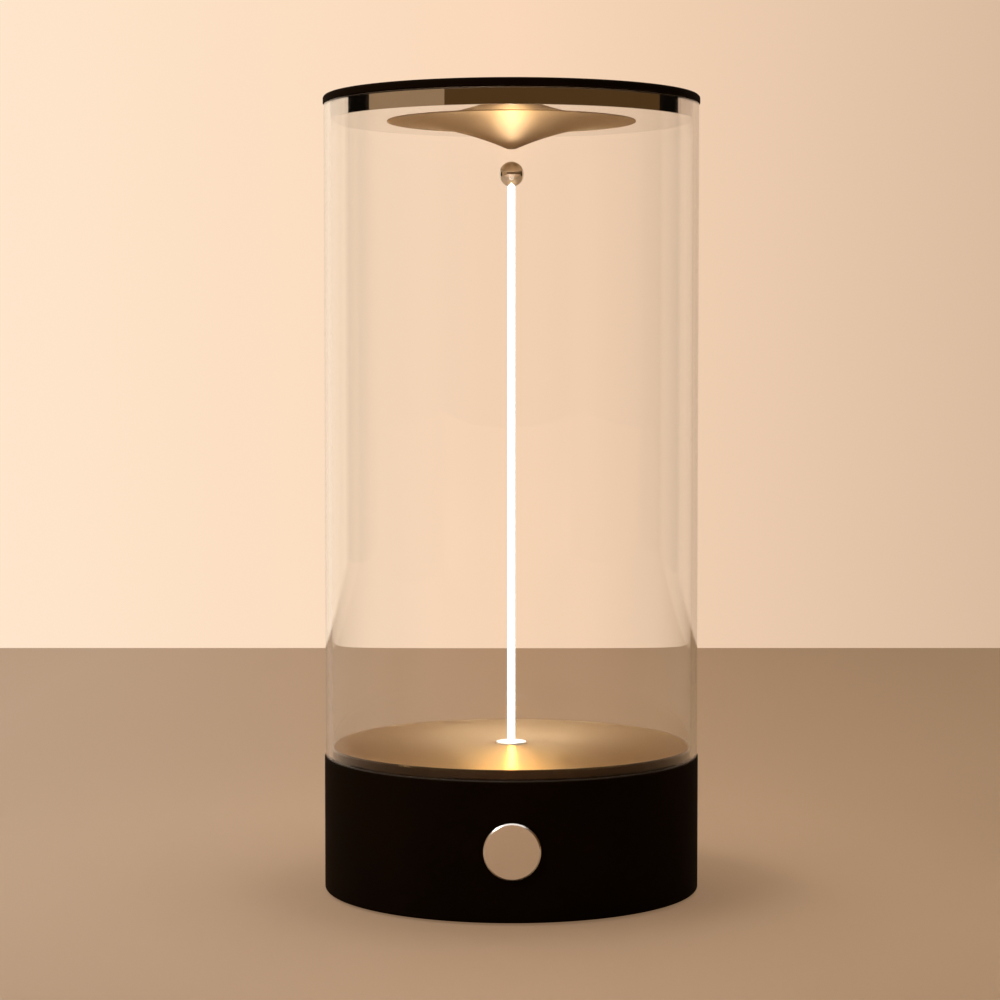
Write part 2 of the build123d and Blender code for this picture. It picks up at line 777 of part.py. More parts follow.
with BuildPart() as tube_gasket:
    revolve(
        ring(tube_inner_radius + gasket_margin, tube_outer_radius - gasket_margin, rim_height, tube_bottom),
        axis=Axis.Z,
    )

with BuildPart() as lid_gasket:
    revolve(
        ring(tube_inner_radius + gasket_margin, tube_outer_radius - gasket_margin, tube_top, lid_bottom),
        axis=Axis.Z,
    )

# Plug: a polished disc in the head of the tube, with the horn's screws sunk in its back
with BuildPart() as top_plug:
    with BuildSketch(Plane.XY.offset(plug_bottom)):
        Circle(plug_radius)
    extrude(amount=plug_top - plug_bottom)
    fillet(top_plug.edges().group_by(Axis.Z)[0], plug_edge_fillet)
    with BuildSketch(Plane.XY.offset(plug_top)):
        with PolarLocations(*horn_screw_spots):
            Circle(m25_head_diameter / 2 + counterbore_clearance)
    extrude(amount=-counterbore_depth, mode=Mode.SUBTRACT)
    with BuildSketch(Plane.XY.offset(plug_bottom)):
        with PolarLocations(*horn_screw_spots):
            Circle(m25_hole_radius)
    extrude(amount=horn_screw_grip, mode=Mode.SUBTRACT)

# Horn: one hollow curve from a thin rim to a small flat tip
with BuildPart() as magnet_horn:
    with BuildSketch(Plane.XZ):
        with BuildLine():
            Line((0, horn_tip), (0, plug_bottom))
            Line((0, plug_bottom), (horn_diameter / 2, plug_bottom))
            Line((horn_diameter / 2, plug_bottom), (horn_diameter / 2, plug_bottom - horn_edge))
            RadiusArc(
                (horn_diameter / 2, plug_bottom - horn_edge),
                (horn_tip_diameter / 2, horn_tip),
                -horn_curve_radius,
            )
            Line((horn_tip_diameter / 2, horn_tip), (0, horn_tip))
        make_face()
    revolve(axis=Axis.Z)
    with BuildSketch(Plane.XY.offset(plug_bottom)):
        Circle(magnet_diameter / 2 + fit_clearance)
    extrude(amount=-magnet_thickness - magnet_pocket_spare, mode=Mode.SUBTRACT)
    with BuildSketch(Plane.XY.offset(plug_bottom)):
        with PolarLocations(*horn_screw_spots):
            Circle(m25_hole_radius)
    extrude(amount=horn_screw_grip - horn_screw_length - tap_overrun, mode=Mode.SUBTRACT)

with BuildPart() as horn_magnet:
    with BuildSketch(Plane.XY.offset(plug_bottom - magnet_pocket_spare)):
        Circle(magnet_diameter / 2)
    extrude(amount=-magnet_thickness)
    fillet(horn_magnet.edges().filter_by(GeomType.CIRCLE), magnet_edge_fillet)

with BuildPart() as horn_screws:
    with Locations((0, 0, plug_screw_seat)):
        with PolarLocations(*horn_screw_spots):
            add(screw(m25_diameter, m25_head_diameter, m25_head_height, horn_screw_length))

with BuildPart() as lid_tape:
    revolve(
        ring(plug_radius - tape_margin - tape_width, plug_radius - tape_margin, plug_top, lid_bottom),
        axis=Axis.Z,
    )

# Lid
with BuildPart() as top_lid:
    with BuildSketch(Plane.XY.offset(lid_bottom)):
        Circle(base_radius)
    extrude(amount=lid_thickness)
    fillet(top_lid.edges().group_by(Axis.Z)[-1], lid_edge_fillet)

# Leads: from the rod's foot, the cells and the switch to the board
with BuildPart() as filament_leads:
    for side in (-1, 1):
        lead_x = side * lead_pitch / 2
        add(
            lead(
                (lead_x, 0, ferrule_bottom),
                (lead_x, 0, lead_run_height),
                (lead_x, lead_socket_back, lead_run_height),
                (lead_x, lead_socket_back, lead_socket_top - lead_socket_hole_depth),
            )
        )

switch_lead_start = -base_radius + switch_board_depth + switch_board_thickness
with BuildPart() as switch_leads:
    for side in (-1, 1):
        lead_x = lead_socket_pitch + side * lead_pitch / 2
        add(
            lead(
                (side * lead_pitch / 2, switch_lead_start, button_height),
                (side * lead_pitch / 2, switch_lead_start + switch_lead_drop, button_height),
                (lead_x, switch_lead_start + switch_lead_drop, lead_run_height),
                (lead_x, lead_socket_back, lead_run_height),
                (lead_x, lead_socket_back, lead_socket_top - lead_socket_hole_depth),
            )
        )

battery_lead_x = {
    -1: -cell_length / 2 - strip_thickness,
    1: cell_length / 2 + cell_tip_height + strip_thickness,
}
with BuildPart() as battery_leads:
    for side in (-1, 1):
        lead_x = -lead_socket_pitch + side * lead_pitch / 2
        add(
            lead(
                (battery_lead_x[side], cell_middle, battery_lead_height),
                (side * battery_lead_side, cell_middle, battery_lead_height),
                (side * battery_lead_side, battery_lead_back, battery_run_height),
                (lead_x, battery_lead_back, battery_run_height),
                (lead_x, lead_socket_back, battery_run_height),
                (lead_x, lead_socket_back, lead_socket_top - lead_socket_hole_depth),
            )
        )

pieces = {
    "base_shell": base_shell,
    "bottom_cover": bottom_cover,
    "foot_pads": foot_pads,
    "cover_screws": cover_screws,
    "ballast_plate": ballast_plate,
    "ballast_screws": ballast_screws,
    "battery_cradle": battery_cradle,
    "cradle_screws": cradle_screws,
    "battery_cells": battery_cells,
    "cell_strips": cell_strips,
    "main_board": main_board,
    "board_screws": board_screws,
    "driver_chips": driver_chips,
    "power_inductor": power_inductor,
    "lead_sockets": lead_sockets,
    "usb_socket": usb_socket,
    "switch_bracket": switch_bracket,
    "bracket_screws": bracket_screws,
    "switch_board": switch_board,
    "tact_switch": tact_switch,
    "button_cap": button_cap,
    "button_clip": button_clip,
    "switch_plunger": switch_plunger,
    "deck_plate": deck_plate,
    "deck_screws": deck_screws,
    "filament_collar": filament_collar,
    "collar_nut": collar_nut,
    "filament_sheath": filament_sheath,
    "led_strip": led_strip,
    "filament_ferrule": filament_ferrule,
    "steel_ball": steel_ball,
    "glass_tube": glass_tube,
    "tube_gasket": tube_gasket,
    "lid_gasket": lid_gasket,
    "top_plug": top_plug,
    "magnet_horn": magnet_horn,
    "horn_magnet": horn_magnet,
    "horn_screws": horn_screws,
    "lid_tape": lid_tape,
    "top_lid": top_lid,
    "filament_leads": filament_leads,
    "switch_leads": switch_leads,
    "battery_leads": battery_leads,
}
for name, piece in pieces.items():
    piece.part.label = name
    export_step(piece.part, f"parts/{name}.step")
    print(name, round(piece.part.volume, 1), len(piece.part.solids()))
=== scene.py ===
"""Visual model of a cordless table lamp.

A glowing rod with a steel ball on its tip stands in a glass tube on a black drum,
held upright by the magnet in the bronze horn above it. Everything is in metres, in
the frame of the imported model: the table at z = 0, the button towards -Y.
"""

from __future__ import annotations

import logging
import math
from dataclasses import dataclass, field
from enum import Enum

import bmesh
import bpy
from mathutils import Euler, Matrix, Vector


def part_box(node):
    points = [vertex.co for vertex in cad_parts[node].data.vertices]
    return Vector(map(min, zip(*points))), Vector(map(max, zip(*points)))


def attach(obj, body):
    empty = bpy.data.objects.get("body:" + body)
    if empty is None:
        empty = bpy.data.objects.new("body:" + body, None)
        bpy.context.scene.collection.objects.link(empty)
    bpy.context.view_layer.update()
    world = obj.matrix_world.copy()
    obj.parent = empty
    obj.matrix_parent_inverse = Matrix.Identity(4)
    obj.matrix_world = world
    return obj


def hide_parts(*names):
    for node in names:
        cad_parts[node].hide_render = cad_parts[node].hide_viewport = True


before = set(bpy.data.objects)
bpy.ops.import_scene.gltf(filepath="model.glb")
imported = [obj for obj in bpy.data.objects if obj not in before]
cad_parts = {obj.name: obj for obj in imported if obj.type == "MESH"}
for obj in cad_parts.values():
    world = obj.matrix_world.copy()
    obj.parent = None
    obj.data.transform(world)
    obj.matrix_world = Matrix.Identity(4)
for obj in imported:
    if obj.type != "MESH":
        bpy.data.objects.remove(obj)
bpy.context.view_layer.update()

log = logging.getLogger("lamp")

MM = 0.001

# Span of a noise pattern that finishes use, since it seldom goes beyond
PATTERN = (0.3, 0.7)

# Ends of the rod in millimetres
ROD_BOTTOM = 38.4
ROD_TOP = 228.7

# Pieces in each rounded corner, and how far beyond it its straight sides are held
ROUND_STEPS = 6
ROUND_GUARD = 1.6

# Distances in metres under which points are one, and the angle past which an edge stays crisp
WELD = 0.000001
SEAM = 0.0000005
CRISP = math.radians(32.0)

Colour = tuple[float, float, float]
Point = tuple[float, float, float]
Span = tuple[float, float]


class Body(Enum):
    """Rigid bodies that pieces ride on."""

    BASE = "base"
    BUTTON = "button"
    FILAMENT = "filament"


class Nodes:
    """A node tree, with short calls to add and join nodes."""

    def __init__(self, tree: bpy.types.NodeTree) -> None:
        """Keeps the tree that the calls work on."""
        self.tree = tree

    def add(self, kind: str, **settings: object) -> bpy.types.Node:
        """Adds a node.

        Args:
            kind: Node type's identifier.
            settings: Properties of the node to set.

        Returns:
            The new node.
        """
        node = self.tree.nodes.new(kind)
        for key, value in settings.items():
            setattr(node, key, value)
        return node

    def join(self, source: object, target: bpy.types.NodeSocket) -> None:
        """Links a socket to an input, or sets the input to a value."""
        if isinstance(source, bpy.types.NodeSocket):
            self.tree.links.new(source, target)
        else:
            target.default_value = source

    def fed(self, node: bpy.types.Node, *sources: object) -> bpy.types.NodeSocket:
        """Fills a node's inputs in order.

        Args:
            node: The node.
            sources: Sockets or values.

        Returns:
            The node's first output.
        """
        for source, socket in zip(sources, node.inputs):
            self.join(source, socket)
        return node.outputs[0]

    def math(self, operation: str, first: object, second: object = 0.0) -> bpy.types.NodeSocket:
        """Adds a Math node and returns its output."""
        return self.fed(self.add("ShaderNodeMath", operation=operation), first, second)

    def product(self, first: object, second: object) -> bpy.types.NodeSocket:
        """Multiplies two colours, each a socket or a value."""
        return self.fed(self.add("ShaderNodeVectorMath", operation="MULTIPLY"), first, second)

    def mix(self, share: object, first: object, second: object) -> bpy.types.NodeSocket:
        """Blends two shaders, the second by a share."""
        return self.fed(self.add("ShaderNodeMixShader"), share, first, second)

    def axes(self, place: bpy.types.NodeSocket) -> bpy.types.bpy_prop_collection:
        """Splits coordinates into outputs X, Y and Z."""
        parts = self.add("ShaderNodeSeparateXYZ")
        self.join(place, parts.inputs[0])
        return parts.outputs

    def mapped(self, value: object, span: Span, result: Span = (0.0, 1.0)) -> bpy.types.NodeSocket:
        """Maps a span of values to another and holds it at both ends.

        Args:
            value: Socket to map.
            span: Its low and high value.
            result: What these two become.

        Returns:
            The mapped socket.
        """
        node = self.add("ShaderNodeMapRange")
        self.join(value, node.inputs["Value"])
        for name, number in zip(("From Min", "From Max", "To Min", "To Max"), (*span, *result)):
            node.inputs[name].default_value = number
        return node.outputs["Result"]


class Graph(Nodes):
    """Node tree of one material."""

    def __init__(self, name: str) -> None:
        """Starts an empty tree with an output node."""
        self.material = bpy.data.materials.new(name + "_look")
        self.material.use_nodes = True
        super().__init__(self.material.node_tree)
        self.tree.nodes.clear()
        self.output = self.add("ShaderNodeOutputMaterial")

    def show(self, shader: bpy.types.NodeSocket) -> None:
        """Sends a shader to the output."""
        self.join(shader, self.output.inputs["Surface"])

    def place(self) -> bpy.types.NodeSocket:
        """Object coordinates of the surface."""
        return self.add("ShaderNodeTexCoord").outputs["Object"]

    def drawn(self, scale: Point) -> bpy.types.NodeSocket:
        """Object coordinates scaled by axis, for a pattern that is drawn out."""
        mapping = self.add("ShaderNodeMapping")
        mapping.inputs["Scale"].default_value = scale
        self.join(self.place(), mapping.inputs["Vector"])
        return mapping.outputs["Vector"]

    def shifted(self, centre: Point, turn: Point) -> bpy.types.NodeSocket:
        """Object coordinates counted from a centre.

        Args:
            centre: Point in the row frame that becomes the pattern's origin.
            turn: Rotation of the pattern in radians.

        Returns:
            The moved coordinates.
        """
        mapping = self.add("ShaderNodeMapping", vector_type="TEXTURE")
        mapping.inputs["Location"].default_value = centre
        mapping.inputs["Rotation"].default_value = turn
        self.join(self.place(), mapping.inputs["Vector"])
        return mapping.outputs["Vector"]

    def radius(self, place: bpy.types.NodeSocket) -> bpy.types.NodeSocket:
        """Distance of a point from the pattern's own Z axis.

        Args:
            place: Coordinates of the point.

        Returns:
            The distance in metres.
        """
        axes = self.axes(place)
        square_x = self.math("MULTIPLY", axes["X"], axes["X"])
        square_y = self.math("MULTIPLY", axes["Y"], axes["Y"])
        return self.math("SQRT", self.math("ADD", square_x, square_y))

    def noise(self, place: bpy.types.NodeSocket, scale: float, detail: float) -> bpy.types.NodeSocket:
        """Adds a noise pattern.

        Args:
            place: Coordinates, or one number for noise along a line.
            scale: Cells per metre.
            detail: Octaves.

        Returns:
            The pattern's value socket.
        """
        node = self.add("ShaderNodeTexNoise")
        if place.type == "VALUE":
            node.noise_dimensions = "1D"
            self.join(place, node.inputs["W"])
        else:
            self.join(place, node.inputs["Vector"])
        node.inputs["Scale"].default_value = scale
        node.inputs["Detail"].default_value = detail
        return node.outputs[0]

    def spread(self, value: bpy.types.NodeSocket, low: float, high: float) -> bpy.types.NodeSocket:
        """Maps a pattern's middle range to a span of values."""
        return self.mapped(value, PATTERN, (low, high))

    def tone(self, value: bpy.types.NodeSocket, low: Colour, high: Colour) -> bpy.types.NodeSocket:
        """Blends two colours by a pattern.

        Args:
            value: Pattern from 0 to 1.
            low: Colour at its low end.
            high: Colour at its high end.

        Returns:
            The colour socket.
        """
        ramp = self.add("ShaderNodeValToRGB")
        for stop, where, colour in zip(ramp.color_ramp.elements, PATTERN, (low, high)):
            stop.position = where
            stop.color = (*colour, 1.0)
        self.join(value, ramp.inputs["Fac"])
        return ramp.outputs["Color"]

    def bump(self, height: bpy.types.NodeSocket, depth: float, strength: float) -> bpy.types.NodeSocket:
        """Turns a height pattern into a normal.

        Args:
            height: Height pattern.
            depth: Depth in metres.
            strength: Share of the depth that shows.

        Returns:
            The normal socket.
        """
        node = self.add("ShaderNodeBump")
        node.inputs["Distance"].default_value = depth
        node.inputs["Strength"].default_value = strength
        self.join(height, node.inputs["Height"])
        return node.outputs["Normal"]

    def surface(self, **values: object) -> bpy.types.Node:
        """Adds the main shader and sends it to the output.

        Args:
            values: Input names with underscores for spaces, with numbers, colours or sockets.

        Returns:
            The shader node.
        """
        shader = self.add("ShaderNodeBsdfPrincipled")
        for key, value in values.items():
            source = (*value, 1.0) if isinstance(value, tuple) else value
            self.join(source, shader.inputs[key.replace("_", " ")])
        self.show(shader.outputs[0])
        return shader


def tinted(colour: Colour, share: float) -> Colour:
    """Colour made lighter or darker by a share."""
    return tuple(min(1.0, part * share) for part in colour)


MADE: dict[str, bpy.types.Material] = {}


class Finish:
    """A surface finish that makes its material once and hands it out."""

    name: str

    def material(self) -> bpy.types.Material:
        """The finish's material, made on first use."""
        if self.name not in MADE:
            MADE[self.name] = self.paint()
        return MADE[self.name]

    def paint(self) -> bpy.types.Material:
        """Makes the material."""
        raise NotImplementedError


@dataclass(frozen=True)
class BlackCoat(Finish):
    """Matte black anodised metal with a fine blasted grain."""

    name: str
    colour: Colour
    roughness: float
    grain: float
    depth: float
    cloud: float = 35.0
    shine: float = 0.02

    def paint(self) -> bpy.types.Material:
        """Makes the material."""
        graph = Graph(self.name)
        place = graph.place()
        fine = graph.noise(place, self.grain, 2.0)
        broad = graph.noise(place, self.cloud, 3.0)
        graph.surface(
            Base_Color=graph.tone(broad, tinted(self.colour, 0.8), tinted(self.colour, 1.2)),
            Roughness=graph.spread(broad, self.roughness * 0.94, self.roughness * 1.06),
            Specular_IOR_Level=self.shine,
            Normal=graph.bump(fine, self.depth, 0.35),
        )
        return graph.material


@dataclass(frozen=True)
class TurnedMetal(Finish):
    """Metal faced on a lathe: fine round tool marks that stretch each highlight along the radius."""

    name: str
    colour: Colour
    roughness: float
    stretch: float
    rim: Colour
    pitch: float = 0.00018
    depth: float = 0.000004
    cloud: float = 40.0

    def paint(self) -> bpy.types.Material:
        """Makes the material."""
        graph = Graph(self.name)
        place = graph.place()
        along = graph.radius(place)
        marks = graph.noise(along, 1.0 / self.pitch, 2.0)
        bands = graph.noise(along, 0.08 / self.pitch, 2.0)
        cloud = graph.noise(place, self.cloud, 2.0)
        tangent = graph.add("ShaderNodeTangent", direction_type="RADIAL", axis="Z")
        mixed = graph.math("ADD", graph.math("MULTIPLY", bands, 0.7), graph.math("MULTIPLY", cloud, 0.3))
        graph.surface(
            Base_Color=graph.tone(mixed, tinted(self.colour, 0.93), tinted(self.colour, 1.05)),
            Metallic=1.0,
            Roughness=graph.spread(mixed, self.roughness * 0.92, self.roughness * 1.08),
            Specular_Tint=self.rim,
            Anisotropic=self.stretch,
            Anisotropic_Rotation=0.25,
            Normal=graph.bump(marks, self.depth, 0.25),
            Tangent=tangent.outputs[0],
        )
        return graph.material


@dataclass(frozen=True)
class PolishedMetal(Finish):
    """Mirror-bright metal with faint wipe marks."""

    name: str
    colour: Colour
    roughness: float
    marks: float = 60.0

    def paint(self) -> bpy.types.Material:
        """Makes the material."""
        graph = Graph(self.name)
        wipe = graph.noise(graph.place(), self.marks, 4.0)
        graph.surface(
            Base_Color=graph.tone(wipe, tinted(self.colour, 0.97), tinted(self.colour, 1.02)),
            Metallic=1.0,
            Roughness=graph.spread(wipe, self.roughness * 0.7, self.roughness * 1.3),
        )
        return graph.material


@dataclass(frozen=True)
class ButtonMetal(Finish):
    """Satin face with fine round marks, and a bright cut edge beyond the face."""

    name: str
    colour: Colour
    roughness: float
    bright: float
    centre: Point
    face: float
    marks: float = 14000.0
    grain: float = 5000.0
    depth: float = 0.00001

    def paint(self) -> bpy.types.Material:
        """Makes the material."""
        graph = Graph(self.name)
        place = graph.shifted(self.centre, (math.pi / 2, 0.0, 0.0))
        out = graph.radius(place)
        marks = graph.noise(out, self.marks, 2.0)
        grain = graph.noise(place, self.grain, 2.0)
        edge = graph.math("GREATER_THAN", out, self.face)
        satin = graph.spread(grain, self.roughness * 0.92, self.roughness * 1.08)
        even = graph.math("MULTIPLY", edge, self.bright)
        rough = graph.math("ADD", graph.math("MULTIPLY", satin, graph.math("SUBTRACT", 1.0, edge)), even)
        graph.surface(
            Base_Color=graph.tone(marks, tinted(self.colour, 0.98), tinted(self.colour, 1.03)),
            Metallic=1.0,
            Roughness=rough,
            Normal=graph.bump(grain, self.depth, 0.12),
        )
        return graph.material


@dataclass(frozen=True)
class ClearGlass(Finish):
    """Clear drawn glass that lets lamps through."""

    name: str
    colour: Colour
    index: float
    shine: Colour
    streaks: float = 45.0

    def paint(self) -> bpy.types.Material:
        """Makes the material."""
        graph = Graph(self.name)
        streak = graph.noise(graph.drawn((1.0, 1.0, 0.05)), self.streaks, 1.0)
        shader = graph.surface(
            Base_Color=graph.tone(streak, tinted(self.colour, 0.985), self.colour),
            Roughness=0.0,
            IOR=self.index,
            Transmission_Weight=1.0,
            Specular_Tint=self.shine,
        )
        path = graph.add("ShaderNodeLightPath")
        clear = graph.add("ShaderNodeBsdfTransparent")
        either = graph.math("MAXIMUM", path.outputs["Is Shadow Ray"], path.outputs["Is Diffuse Ray"])
        graph.show(graph.mix(either, shader.outputs[0], clear.outputs[0]))
        return graph.material


@dataclass(frozen=True)
class Glow(Finish):
    """Lit core or the milky sheath round it, with a faint beat where the light points sit."""

    name: str
    colour: Colour
    strength: float
    cover: float
    levels: tuple[Span, ...] = ((0.0, 1.0),)
    pitch: float = 0.0024

    def paint(self) -> bpy.types.Material:
        """Makes the material."""
        graph = Graph(self.name)
        height = graph.axes(graph.place())["Z"]
        along = graph.mapped(height, (ROD_BOTTOM * MM, ROD_TOP * MM))
        ramp = graph.add("ShaderNodeValToRGB")
        stops = ramp.color_ramp.elements
        stops.remove(stops[1])
        for number, (where, share) in enumerate(self.levels):
            stop = stops[0] if number == 0 else stops.new(where)
            stop.position = where
            stop.color = (share, share, share, 1.0)
        graph.join(along, ramp.inputs["Fac"])
        beat = graph.math("SINE", graph.math("MULTIPLY", height, 2.0 * math.pi / self.pitch))
        level = graph.math("ADD", graph.math("MULTIPLY", beat, 0.5), 0.5)
        tone = graph.tone(level, tinted(self.colour, 0.9), self.colour)
        graph.surface(
            Base_Color=(0.0, 0.0, 0.0),
            Roughness=0.6,
            Specular_IOR_Level=0.0,
            Alpha=self.cover,
            Emission_Color=graph.product(tone, ramp.outputs["Color"]),
            Emission_Strength=self.strength,
        )
        return graph.material


@dataclass(frozen=True)
class Moulded(Finish):
    """Moulded plastic, rubber, board mask or wrap with a fine texture."""

    name: str
    colour: Colour
    roughness: float
    grain: float
    depth: float
    coat: float = 0.0

    def paint(self) -> bpy.types.Material:
        """Makes the material."""
        graph = Graph(self.name)
        place = graph.place()
        fine = graph.noise(place, self.grain, 3.0)
        broad = graph.noise(place, self.grain * 0.05, 2.0)
        graph.surface(
            Base_Color=graph.tone(broad, tinted(self.colour, 0.9), tinted(self.colour, 1.1)),
            Roughness=graph.spread(fine, self.roughness * 0.9, self.roughness * 1.1),
            Coat_Weight=self.coat,
            Normal=graph.bump(fine, self.depth, 0.5),
        )
        return graph.material


@dataclass(frozen=True)
class Plated(Finish):
    """Plated or rolled metal with fine scratches."""

    name: str
    colour: Colour
    roughness: float
    grain: float
    depth: float = 0.00001

    def paint(self) -> bpy.types.Material:
        """Makes the material."""
        graph = Graph(self.name)
        lines = graph.noise(graph.drawn((1.0, 0.08, 1.0)), self.grain, 3.0)
        graph.surface(
            Base_Color=graph.tone(lines, tinted(self.colour, 0.88), tinted(self.colour, 1.06)),
            Metallic=1.0,
            Roughness=graph.spread(lines, self.roughness * 0.85, self.roughness * 1.15),
            Normal=graph.bump(lines, self.depth, 0.2),
        )
        return graph.material


SHELL_BLACK = BlackCoat("shell_black", (0.008, 0.0041, 0.0013), 0.8, 3200.0, 0.00002)
DECK_BRONZE = TurnedMetal("deck_bronze", (0.47, 0.34, 0.195), 0.33, 0.42, (0.22, 0.12, 0.04))
# The horn's base colour is the deck's bronze made darker: painted shade. Its rougher finish is its own.
HORN_BRONZE_SHADED = TurnedMetal("horn_bronze", (0.35, 0.235, 0.13), 0.5, 0.5, (0.5, 0.36, 0.24))
MIRROR = PolishedMetal("mirror_metal", (0.73, 0.705, 0.68), 0.02)
# Deck's upright edge: a polished metal, with a near-black colour that is painted shade on that side.
DECK_SIDE_SHADE = PolishedMetal("polished_bronze", (0.045, 0.024, 0.008), 0.08)
BALL_STEEL = PolishedMetal("ball_steel", (0.88, 0.82, 0.75), 0.03)
COLLAR_METAL = PolishedMetal("collar_metal", (0.9, 0.87, 0.82), 0.75)
GLASS = ClearGlass("clear_glass", (0.995, 0.995, 0.99), 1.45, (0.4, 0.4, 0.4))
CORE_LEVELS = ((0.1, 1.0), (0.3, 0.13), (0.7, 0.1), (0.93, 0.13))
ROD_GLOW = Glow("rod_glow", (1.0, 0.97, 0.89), 1.0, 0.5)
CORE_GLOW = Glow("core_glow", (1.0, 0.99, 0.97), 3200.0, 1.0, CORE_LEVELS)
BLACK_PLASTIC = Moulded("black_plastic", (0.016, 0.015, 0.015), 0.55, 2600.0, 0.00004)
FOOT_RUBBER = Moulded("foot_rubber", (0.022, 0.021, 0.021), 0.8, 1800.0, 0.00006)
SEAL = Moulded("seal_silicone", (0.03, 0.027, 0.024), 0.45, 1500.0, 0.00002)
BOARD_MASK = Moulded("board_mask", (0.012, 0.11, 0.045), 0.32, 900.0, 0.00002, 0.3)
CHIP_BLACK = Moulded("chip_black", (0.02, 0.02, 0.022), 0.5, 5000.0, 0.00001)
IVORY_PLASTIC = Moulded("ivory_plastic", (0.72, 0.68, 0.58), 0.42, 2000.0, 0.00002)
CELL_WRAP = Moulded("cell_wrap", (0.03, 0.16, 0.27), 0.3, 400.0, 0.00002, 0.4)
LEAD_WHITE = Moulded("lead_white", (0.7, 0.68, 0.62), 0.38, 1500.0, 0.00002)
LEAD_RED = Moulded("lead_red", (0.45, 0.03, 0.025), 0.38, 1500.0, 0.00002)
SCREW_STEEL = Plated("screw_steel", (0.5, 0.5, 0.52), 0.32, 3000.0)
BALLAST_STEEL = Plated("ballast_steel", (0.32, 0.32, 0.33), 0.42, 700.0)
NICKEL = Plated("nickel_plate", (0.62, 0.58, 0.52), 0.26, 2500.0)
CONTACT_GOLD = Plated("contact_gold", (0.8, 0.58, 0.24), 0.25, 4000.0)


def object_of(name: str, mesh: bpy.types.Mesh) -> bpy.types.Object:
    """Puts a mesh in the scene at the origin.

    Args:
        name: Name of the object and its mesh.
        mesh: The mesh.

    Returns:
        The new object.
    """
    mesh.name = name
    made = bpy.data.objects.new(name, mesh)
    bpy.context.scene.collection.objects.link(made)
    return made


def mesh_of(name: str, points: list[Vector], faces: list[tuple[int, ...]]) -> bpy.types.Mesh:
    """Mesh of points and faces, or of points alone for a tree to start from."""
    mesh = bpy.data.meshes.new(name)
    mesh.from_pydata([tuple(point) for point in points], [], faces)
    return mesh


class Tree(Nodes):
    """Geometry Nodes group with named inputs that works on a mesh and is then applied."""

    def __init__(self, name: str) -> None:
        """Starts a group with a geometry input and output."""
        super().__init__(bpy.data.node_groups.new(name, "GeometryNodeTree"))
        self.sockets: dict[str, str] = {}
        for way in ("INPUT", "OUTPUT"):
            self.tree.interface.new_socket("Geometry", in_out=way, socket_type="NodeSocketGeometry")
        self.entry = self.add("NodeGroupInput")
        self.exit = self.add("NodeGroupOutput")

    def size(self, name: str, kind: str, value: object = None) -> bpy.types.NodeSocket:
        """Adds a named input.

        Args:
            name: The input's name.
            kind: Socket type's identifier.
            value: Default value.

        Returns:
            The socket inside the tree.
        """
        socket = self.tree.interface.new_socket(name, in_out="INPUT", socket_type=kind)
        if value is not None:
            socket.default_value = value
        self.sockets[name] = socket.identifier
        return self.entry.outputs[name]

    def end(self, geometry: bpy.types.NodeSocket, material: bpy.types.NodeSocket) -> None:
        """Realizes the geometry, gives it its material and sends it out."""
        realize = self.add("GeometryNodeRealizeInstances")
        self.join(geometry, realize.inputs[0])
        paint = self.add("GeometryNodeSetMaterial")
        self.join(realize.outputs[0], paint.inputs["Geometry"])
        self.join(material, paint.inputs["Material"])
        self.join(paint.outputs[0], self.exit.inputs[0])

    def apply(self, name: str, start: bpy.types.Mesh, **values: object) -> bpy.types.Mesh:
        """Runs the tree on a mesh.

        Args:
            name: Name of the result.
            start: Mesh that the tree works on.
            values: Input names with underscores for spaces, and their values.

        Returns:
            The result as a plain mesh.
        """
        holder = object_of(name + "_start", start)
        modifier = holder.modifiers.new("tree", "NODES")
        modifier.node_group = self.tree
        for key, value in values.items():
            modifier[self.sockets[key.replace("_", " ")]] = value
        depsgraph = bpy.context.evaluated_depsgraph_get()
        mesh = bpy.data.meshes.new_from_object(holder.evaluated_get(depsgraph))
        holder.modifiers.remove(modifier)
        bpy.data.objects.remove(holder)
        mesh.name = name
        painted = [material for material in mesh.materials if material]
        mesh.materials.clear()
        for material in painted:
            mesh.materials.append(material)
        for face in mesh.polygons:
            face.material_index = 0
        return mesh


